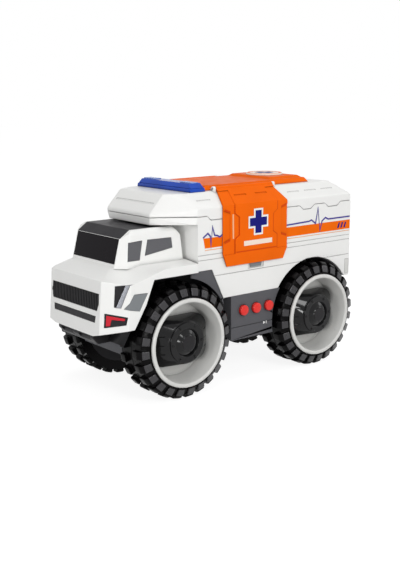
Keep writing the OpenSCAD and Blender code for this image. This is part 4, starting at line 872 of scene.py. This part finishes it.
class TRUCK_OT_wheels(ToolBase, bpy.types.Operator):
    """Rounds the tyres, rims and hubs, dresses the axles and adds dark dust discs, hub caps and pads of
    painted sheen
    """
    bl_idname = "truck.wheels"
    bl_label = "Wheels"

    # Dust disc behind a rim and cap in its hub: radii, gap and half thickness in millimetres, and the facets
    # of the disc's hole
    disc_outer = 38.8
    disc_inner = 6.3
    disc_gap = 0.3
    disc_half = 0.2
    cap_radius = 6.4
    hole_facets = 32
    # Lugs of the CAD tread, the share of their pitch that they fill, and the facets of a pad strip per pitch
    lug_count = 24
    lug_share = 0.56
    lug_facets = 10
    # Shoulder pads: radii, place, depth, thickness and edge in millimetres, and the angle of an edge to round
    pad_outer = 48.4
    pad_inner = 42.0
    pad_x = 67.0
    pad_depth = 2.4
    pad_thick = 1.8
    pad_edge = 0.6
    pad_crease = 50.0

    def execute(self, context):
        for axle in AXLES:
            for side in SIDES:
                soften(f"{axle}_tyre_{side}", tyre_pvc(), sizes().tyre_edge)
                soften(f"{axle}_rim_{side}", light_grey_abs(), sizes().wheel_edge, 3)
                soften(f"{axle}_hub_{side}", hub_black(), sizes().wheel_edge, 3)
            dress([axle + "_axle"], steel())
        dress(["axle_bushes"], light_grey_abs())
        for axle in AXLES:
            for side, sign in SIDES.items():
                self.close_back(axle, side, sign)
                self.pad_lugs(axle, side, sign)
        return {"FINISHED"}

    def pad_lugs(self, axle, side, sign):
        """Raised shoulder pads, one on the flank of each outer lug of a tyre, paler than the tyre as a
        painted sheen
        """
        low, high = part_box(axle + "_tyre_left")
        middle = (low + high) / 2
        pitch = 360 / self.lug_count
        bpy.ops.object.select_all(action="DESELECT")
        bpy.ops.mesh.primitive_cone_add(
            vertices=self.lug_facets * self.lug_count, depth=self.pad_depth * MM, end_fill_type="NOTHING",
            radius1=self.pad_outer * MM, radius2=self.pad_inner * MM,
            location=(sign * self.pad_x * MM, middle.y, middle.z), rotation=(0, sign * pi / 2, 0))
        piece = bpy.context.object
        piece.name = f"{axle}_lug_sheen_pads_{side}"
        bpy.ops.object.transform_apply(location=True, rotation=True, scale=True)
        bpy.ops.object.mode_set(mode="EDIT")
        bpy.ops.mesh.select_mode(type="FACE")
        bpy.ops.mesh.select_all(action="DESELECT")
        bpy.ops.object.mode_set(mode="OBJECT")
        for face in piece.data.polygons:
            turn = degrees(atan2(face.center.y - middle.y, middle.z - face.center.z)) % pitch
            face.select = not 0 < turn < pitch * self.lug_share
        bpy.ops.object.mode_set(mode="EDIT")
        bpy.ops.mesh.delete(type="FACE")
        bpy.ops.mesh.select_mode(type="VERT")
        bpy.ops.object.mode_set(mode="OBJECT")
        apply_modifier(piece, "SOLIDIFY", thickness=self.pad_thick * MM, offset=-1.0)
        apply_modifier(piece, "BEVEL", limit_method="ANGLE", angle_limit=radians(self.pad_crease),
                       width=self.pad_edge * MM, segments=3)
        smooth(piece)
        # Paler PVC: a painted sheen on the shoulder lugs
        paint(piece, lug_sheen_pvc())
        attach(piece, axle + "_wheels")

    def close_back(self, axle, side, sign):
        """A black dust disc that closes the rim behind its dish, its black also painted shade in the rim, and
        the hub's cap
        """
        low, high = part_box(axle + "_tyre_left")
        centre = ((low.y + high.y) / 2, (low.z + high.z) / 2)
        loops = [circle(self.disc_outer * MM, centre), circle(self.disc_inner * MM, centre, self.hole_facets)]
        # Dust disc: a cover whose black also stands for the shade deep inside the rim
        flat_print(f"{axle}_dust_disc_{side}", loops, on_side(sign, low.x - self.disc_gap * MM),
                   self.disc_half * MM, black_abs(), axle + "_wheels")
        flat_print(f"{axle}_cap_{side}", [circle(self.cap_radius * MM, centre)],
                   on_side(sign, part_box(axle + "_hub_left")[1].x), self.disc_half * MM, black_abs(),
                   axle + "_wheels")


class TRUCK_OT_works(ToolBase, bpy.types.Operator):
    """Dresses the friction drive, the cells, the boards and the loudspeaker"""
    bl_idname = "truck.works"
    bl_label = "Inner works"

    def execute(self, context):
        dress(["axle_gear", "compound_gear"], acetal())
        dress(["compound_pin", "flywheel", "battery_contacts"], steel())
        dress(["gearbox_frame"], mid_grey_abs())
        dress(["button_board"], circuit_board())
        dress(["battery_cells"], cell_jacket())
        dress(["speaker"], speaker_cone())
        return {"FINISHED"}


# Outline of a front arch round its wheel, and the foot of a rear arch, as shares of the tyre radius
FRONT_ARCH = ((-1.17, 0.1), (-0.765, 0.76), (-0.6, 1.15), (0.69, 1.15), (0.945, 0.614), (1.03, 0.1))
REAR_ARCH = 1.07
REAR_FOOT = 0.63
ARCH_STEPS = 40
# How far a liner's outer and inner faces shrink from that outline, as shares of it
LINER_SHRINK = 0.004
LINER_SHARE = 0.012
# Thickness of a liner's back wall, its distance inboard of the tyre, and the lip left free at the body's side
LINER_MM = 0.3
LINER_SET_MM = 2.0
LINER_EDGE_MM = 2.0


class TRUCK_OT_liners(ToolBase, bpy.types.Operator):
    """Lines the wheel arches with dark sheet, whose black also stands for the shade in the wheel wells"""
    bl_idname = "truck.liners"
    bl_label = "Arch liners"

    def execute(self, context):
        start = asin(REAR_FOOT / REAR_ARCH)
        turns = [start + (pi - 2 * start) * i / ARCH_STEPS for i in range(ARCH_STEPS + 1)]
        rear = [(REAR_ARCH * cos(t), REAR_ARCH * sin(t)) for t in turns]
        for side, sign in SIDES.items():
            self.line_arch("front_shade_liner_" + side, FRONT_ARCH, "front_tyre_left", sign)
            self.line_arch("rear_shade_liner_" + side, rear, "rear_tyre_left", sign)
        return {"FINISHED"}

    def line_arch(self, name, shares, tyre, sign):
        """A back wall beside the tyre and a band round the arch"""
        low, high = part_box(tyre)
        radius = (high.z - low.z) / 2
        outer, inner = [[((low.y + high.y) / 2 + radius * share * u, low.z + radius + radius * share * v)
                         for u, v in shares] for share in (1 - LINER_SHRINK, 1 - LINER_SHARE)]
        back = low.x - LINER_SET_MM * MM
        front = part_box("box_lower")[1].x - LINER_EDGE_MM * MM
        # Black sheet: a liner, its black also painted shade in the wheel well
        flat_print(name + "_wall", [outer], on_side(sign, back), LINER_MM / 2 * MM, black_abs(), "truck")
        flat_print(name + "_band", [outer + inner[::-1]], on_side(sign, (back + front) / 2),
                   (front - back) / 2, black_abs(), "truck")


# Outlines and places of the side prints, along the truck and up, in millimetres
FRONT_PULSE = ((-45.9, 140.2), (-40.4, 143.9), (-37.5, 140.8), (-36.9, 131.6), (-35.1, 149.3), (-32.7, 141.5),
               (-29.1, 140.8), (-26.7, 139.3), (-23.2, 141.5))
REAR_PULSE = ((55.7, 142.0), (86.1, 143.0), (89.5, 144.0), (95.2, 140.1), (98.3, 154.9), (101.4, 132.6),
              (104.2, 141.7), (109.1, 144.7), (112.7, 142.9), (144.0, 143.0))
STRIPE_FRONT = (-45.6, -43.8)
STRIPE_REAR = 144.4
STRIPE_DOOR_GAPS = (0.1, 0.3)
FINE_LINE_Z = 128.6
# Painted highlight on a door's front flank: a pale line from foot to head, along the truck and up
DOOR_HIGHLIGHT = ((-12.2, 136.4), (-12.5, 158.6))
PLUS_AT = (17.6, 149.5)
DOOR_BAR = (0.0, 35.0, 128.5, 133.0)
PLAY_AT = (28.0, 52.0)
PLAY_HALF = 1.4
# Slanted bars on the stripe, in millimetres, and the stripe's share left free above and below them
BAR_COUNT = 3
BAR_START = 126.0
BAR_PITCH = 4.6
BAR_WIDTH = 2.2
BAR_SLANT = 2.0
BAR_INSET = 0.2
# Painted shade along a door's panel seam, its dent lips and the panel's foot: shares of the door's width from
# its middle, and heights in millimetres; then how far the flanks lie behind the panel's face
PANEL_SEAM = ((0.331, 122.9), (0.331, 135.6), (0.267, 139.0), (0.267, 155.8), (0.334, 159.4), (0.334, 167.0))
DENT_LIPS = (((0.485, 133.3), (0.4, 135.5)), ((0.485, 163.0), (0.4, 160.6)))
PANEL_FOOT = ((-0.318, 123.7), (0.318, 123.7))
FLANK_DROP = 0.7
# Size and arm share of the rim under a door's plus, radii of the badge's ring in radii of the badge, and the
# play mark's bar in half sizes of the mark
PLUS_RIM = (1.16, 0.46)
BADGE_RING = (0.93, 0.8)
PLAY_BAR = (1.5, 2.0)
# Ink films: thickness of the prints that lie over others, in thicknesses of the plain ink
BAR_FILM = 1.5
PLUS_FILM = 1.6
PULSE_FILM = 2


class TRUCK_OT_prints(ToolBase, bpy.types.Operator):
    """Prints stripes, heartbeats, plus signs, badge ring and play mark, and paints highlight and shade lines
    on doors
    """
    bl_idname = "truck.prints"
    bl_label = "Prints"

    def execute(self, context):
        for side, sign in SIDES.items():
            self.print_wall(side, sign)
            self.print_door(side, sign)
        self.print_badge()
        self.print_play_mark()
        return {"FINISHED"}

    def print_wall(self, side, sign):
        """Stripe, fine line, heartbeat line and slanted bars of one side wall"""
        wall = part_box("box_lower")[1].x
        door_low, door_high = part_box("door_" + side)
        place = on_side(sign, wall)
        film, low, high = sizes().ink, sizes().stripe_low, sizes().stripe_high
        front_end = door_low.y - STRIPE_DOOR_GAPS[0] * MM
        rear_start = door_high.y + STRIPE_DOOR_GAPS[1] * MM
        top_start, foot_start = [y * MM for y in STRIPE_FRONT]
        rear_end = STRIPE_REAR * MM
        front = [(foot_start, low), (front_end, low), (front_end, high), (top_start, high)]
        rear = [(rear_start, low), (rear_end, low), (rear_end, high), (rear_start, high)]
        stripe = ink("stripe_orange", colours().stripe)
        flat_print("stripe_front_" + side, [front], place, film, stripe, "truck")
        flat_print("stripe_rear_" + side, [rear], place, film, stripe, "truck")
        fine_low = FINE_LINE_Z * MM
        fine_high = fine_low + sizes().fine_line
        fine = ink("fine_orange", colours().fine_line)
        for part, a, b in (("front", foot_start, front_end), ("rear", rear_start, rear_end)):
            loop = [(a, fine_low), (b, fine_low), (b, fine_high), (a, fine_high)]
            flat_print(f"fine_line_{part}_{side}", [loop], place, film, fine, "truck")
        violet = ink("pulse_violet", colours().pulse)
        for part, points in (("front", FRONT_PULSE), ("rear", REAR_PULSE)):
            loop = ribbon(scaled(points), sizes().pulse)
            flat_print(f"pulse_{part}_{side}", [loop], place, PULSE_FILM * film, violet, "truck")
        inset = (high - low) * BAR_INSET
        foot, top = low + inset, high - inset
        lean, width = BAR_SLANT * MM, BAR_WIDTH * MM
        starts = [(BAR_START + i * BAR_PITCH) * MM for i in range(BAR_COUNT)]
        bars = [[(a, foot), (a + width, foot), (a + width + lean, top), (a + lean, top)] for a in starts]
        flat_print("stripe_bars_" + side, bars, place, BAR_FILM * film, ink("navy", colours().navy), "truck")

    def print_door(self, side, sign):
        """Plus sign and bar of one door, its line of painted highlight and its lines of painted shade"""
        place = on_side(sign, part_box("door_" + side)[1].x if sign > 0 else -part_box("door_" + side)[0].x)
        centre = scaled([PLUS_AT])[0]
        size, film, body = sizes().door_plus, sizes().ink, side + "_door"
        rim_size, rim_arm = PLUS_RIM
        flat_print("door_plus_rim_" + side, [plus(centre, size * rim_size, rim_arm)], place, film,
                   ink("white", colours().white), body)
        flat_print("door_plus_" + side, [plus(centre, size)], place, PLUS_FILM * film,
                   ink("navy", colours().navy), body)
        a, b, low, high = [v * MM for v in DOOR_BAR]
        flat_print("door_bar_" + side, [[(a, low), (b, low), (b, high), (a, high)]], place, film,
                   ink("cream", colours().cream), body)
        flank = Matrix.Translation((-sign * FLANK_DROP * MM, 0, 0)) @ place
        # Painted highlight: a pale line on the door's front flank
        flat_print("door_highlight_" + side, [ribbon(scaled(DOOR_HIGHLIGHT), sizes().door_highlight)], flank, film,
                   ink("flank_highlight", colours().flank_highlight), body)
        self.shade_seams(side, place, flank, body)

    def shade_seams(self, side, face, flank, body):
        """Painted shade in darker orange along the seams round a door's panel and along its dents"""
        low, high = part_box("door_" + side)
        middle, width = (low.y + high.y) / 2, high.y - low.y
        seam = ink("seam_shade_orange", colours().seam)
        paths = [(PANEL_SEAM, sizes().seam)] + [(lip, 2 * sizes().seam) for lip in DENT_LIPS]
        for end, way in (("front", -1), ("rear", 1)):
            loops = [ribbon([(middle + way * share * width, z * MM) for share, z in path], broad)
                     for path, broad in paths]
            flat_print(f"door_shade_lines_{end}_{side}", loops, flank, sizes().ink, seam, body)
        foot = ribbon([(middle + share * width, z * MM) for share, z in PANEL_FOOT], sizes().seam)
        flat_print("door_foot_shade_" + side, [foot], face, sizes().ink, seam, body)

    def print_badge(self):
        """Ring and plus sign on the roof badge"""
        low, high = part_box("roof_badge")
        middle = (low + high) / 2
        place = on_top(high.z)
        centre = (middle.x, middle.y)
        rim = (high.x - low.x) / 2
        film = sizes().ink
        flat_print("badge_ring", [circle(rim * share, centre) for share in BADGE_RING], place, film,
                   ink("badge_orange", colours().orange), "truck")
        flat_print("badge_plus", [plus(centre, sizes().badge_plus)], place, film,
                   ink("navy", colours().navy), "truck")

    def print_play_mark(self):
        """A triangle and a bar beside the push buttons"""
        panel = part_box("chassis_pan")[1].x
        y, z = scaled([PLAY_AT])[0]
        half = PLAY_HALF * MM
        a, b = [y + share * half for share in PLAY_BAR]
        mark = [[(y - half, z - half), (y + half, z), (y - half, z + half)],
                [(a, z - half), (b, z - half), (b, z + half), (a, z + half)]]
        flat_print("play_mark", mark, on_side(1, panel), sizes().ink, ink("white", colours().white), "truck")


STEPS = (TRUCK_OT_stage, TRUCK_OT_cab, TRUCK_OT_body, TRUCK_OT_doors, TRUCK_OT_roof_fittings,
         TRUCK_OT_chassis, TRUCK_OT_wheels, TRUCK_OT_liners, TRUCK_OT_works, TRUCK_OT_prints)


class TRUCK_PT_looks(bpy.types.Panel):
    """Lists the steps that dress the truck, with its colours and sizes"""
    bl_label = "Toy truck looks"
    bl_idname = "TRUCK_PT_looks"
    bl_space_type = "VIEW_3D"
    bl_region_type = "UI"
    bl_category = "Toy truck"

    def draw(self, context):
        for step in STEPS:
            self.layout.operator(step.bl_idname)
        for group in (colours(), sizes()):
            for key in group.bl_rna.properties.keys():
                if key not in ("rna_type", "name"):
                    self.layout.prop(group, key)


CLASSES = (TruckColours, TruckSizes, *STEPS, TRUCK_PT_looks)


def register():
    for kind in CLASSES:
        bpy.utils.register_class(kind)
    bpy.types.Scene.truck_colours = bpy.props.PointerProperty(type=TruckColours)
    bpy.types.Scene.truck_sizes = bpy.props.PointerProperty(type=TruckSizes)


def unregister():
    del bpy.types.Scene.truck_sizes
    del bpy.types.Scene.truck_colours
    for kind in reversed(CLASSES):
        bpy.utils.unregister_class(kind)


def main():
    register()
    bpy.ops.object.select_all(action="DESELECT")
    bpy.ops.truck.stage()
    bpy.ops.truck.cab()
    bpy.ops.truck.body()
    bpy.ops.truck.doors()
    bpy.ops.truck.roof_fittings()
    bpy.ops.truck.chassis()
    bpy.ops.truck.wheels()
    bpy.ops.truck.liners()
    bpy.ops.truck.works()
    bpy.ops.truck.prints()


if __name__ == "__main__":
    main()
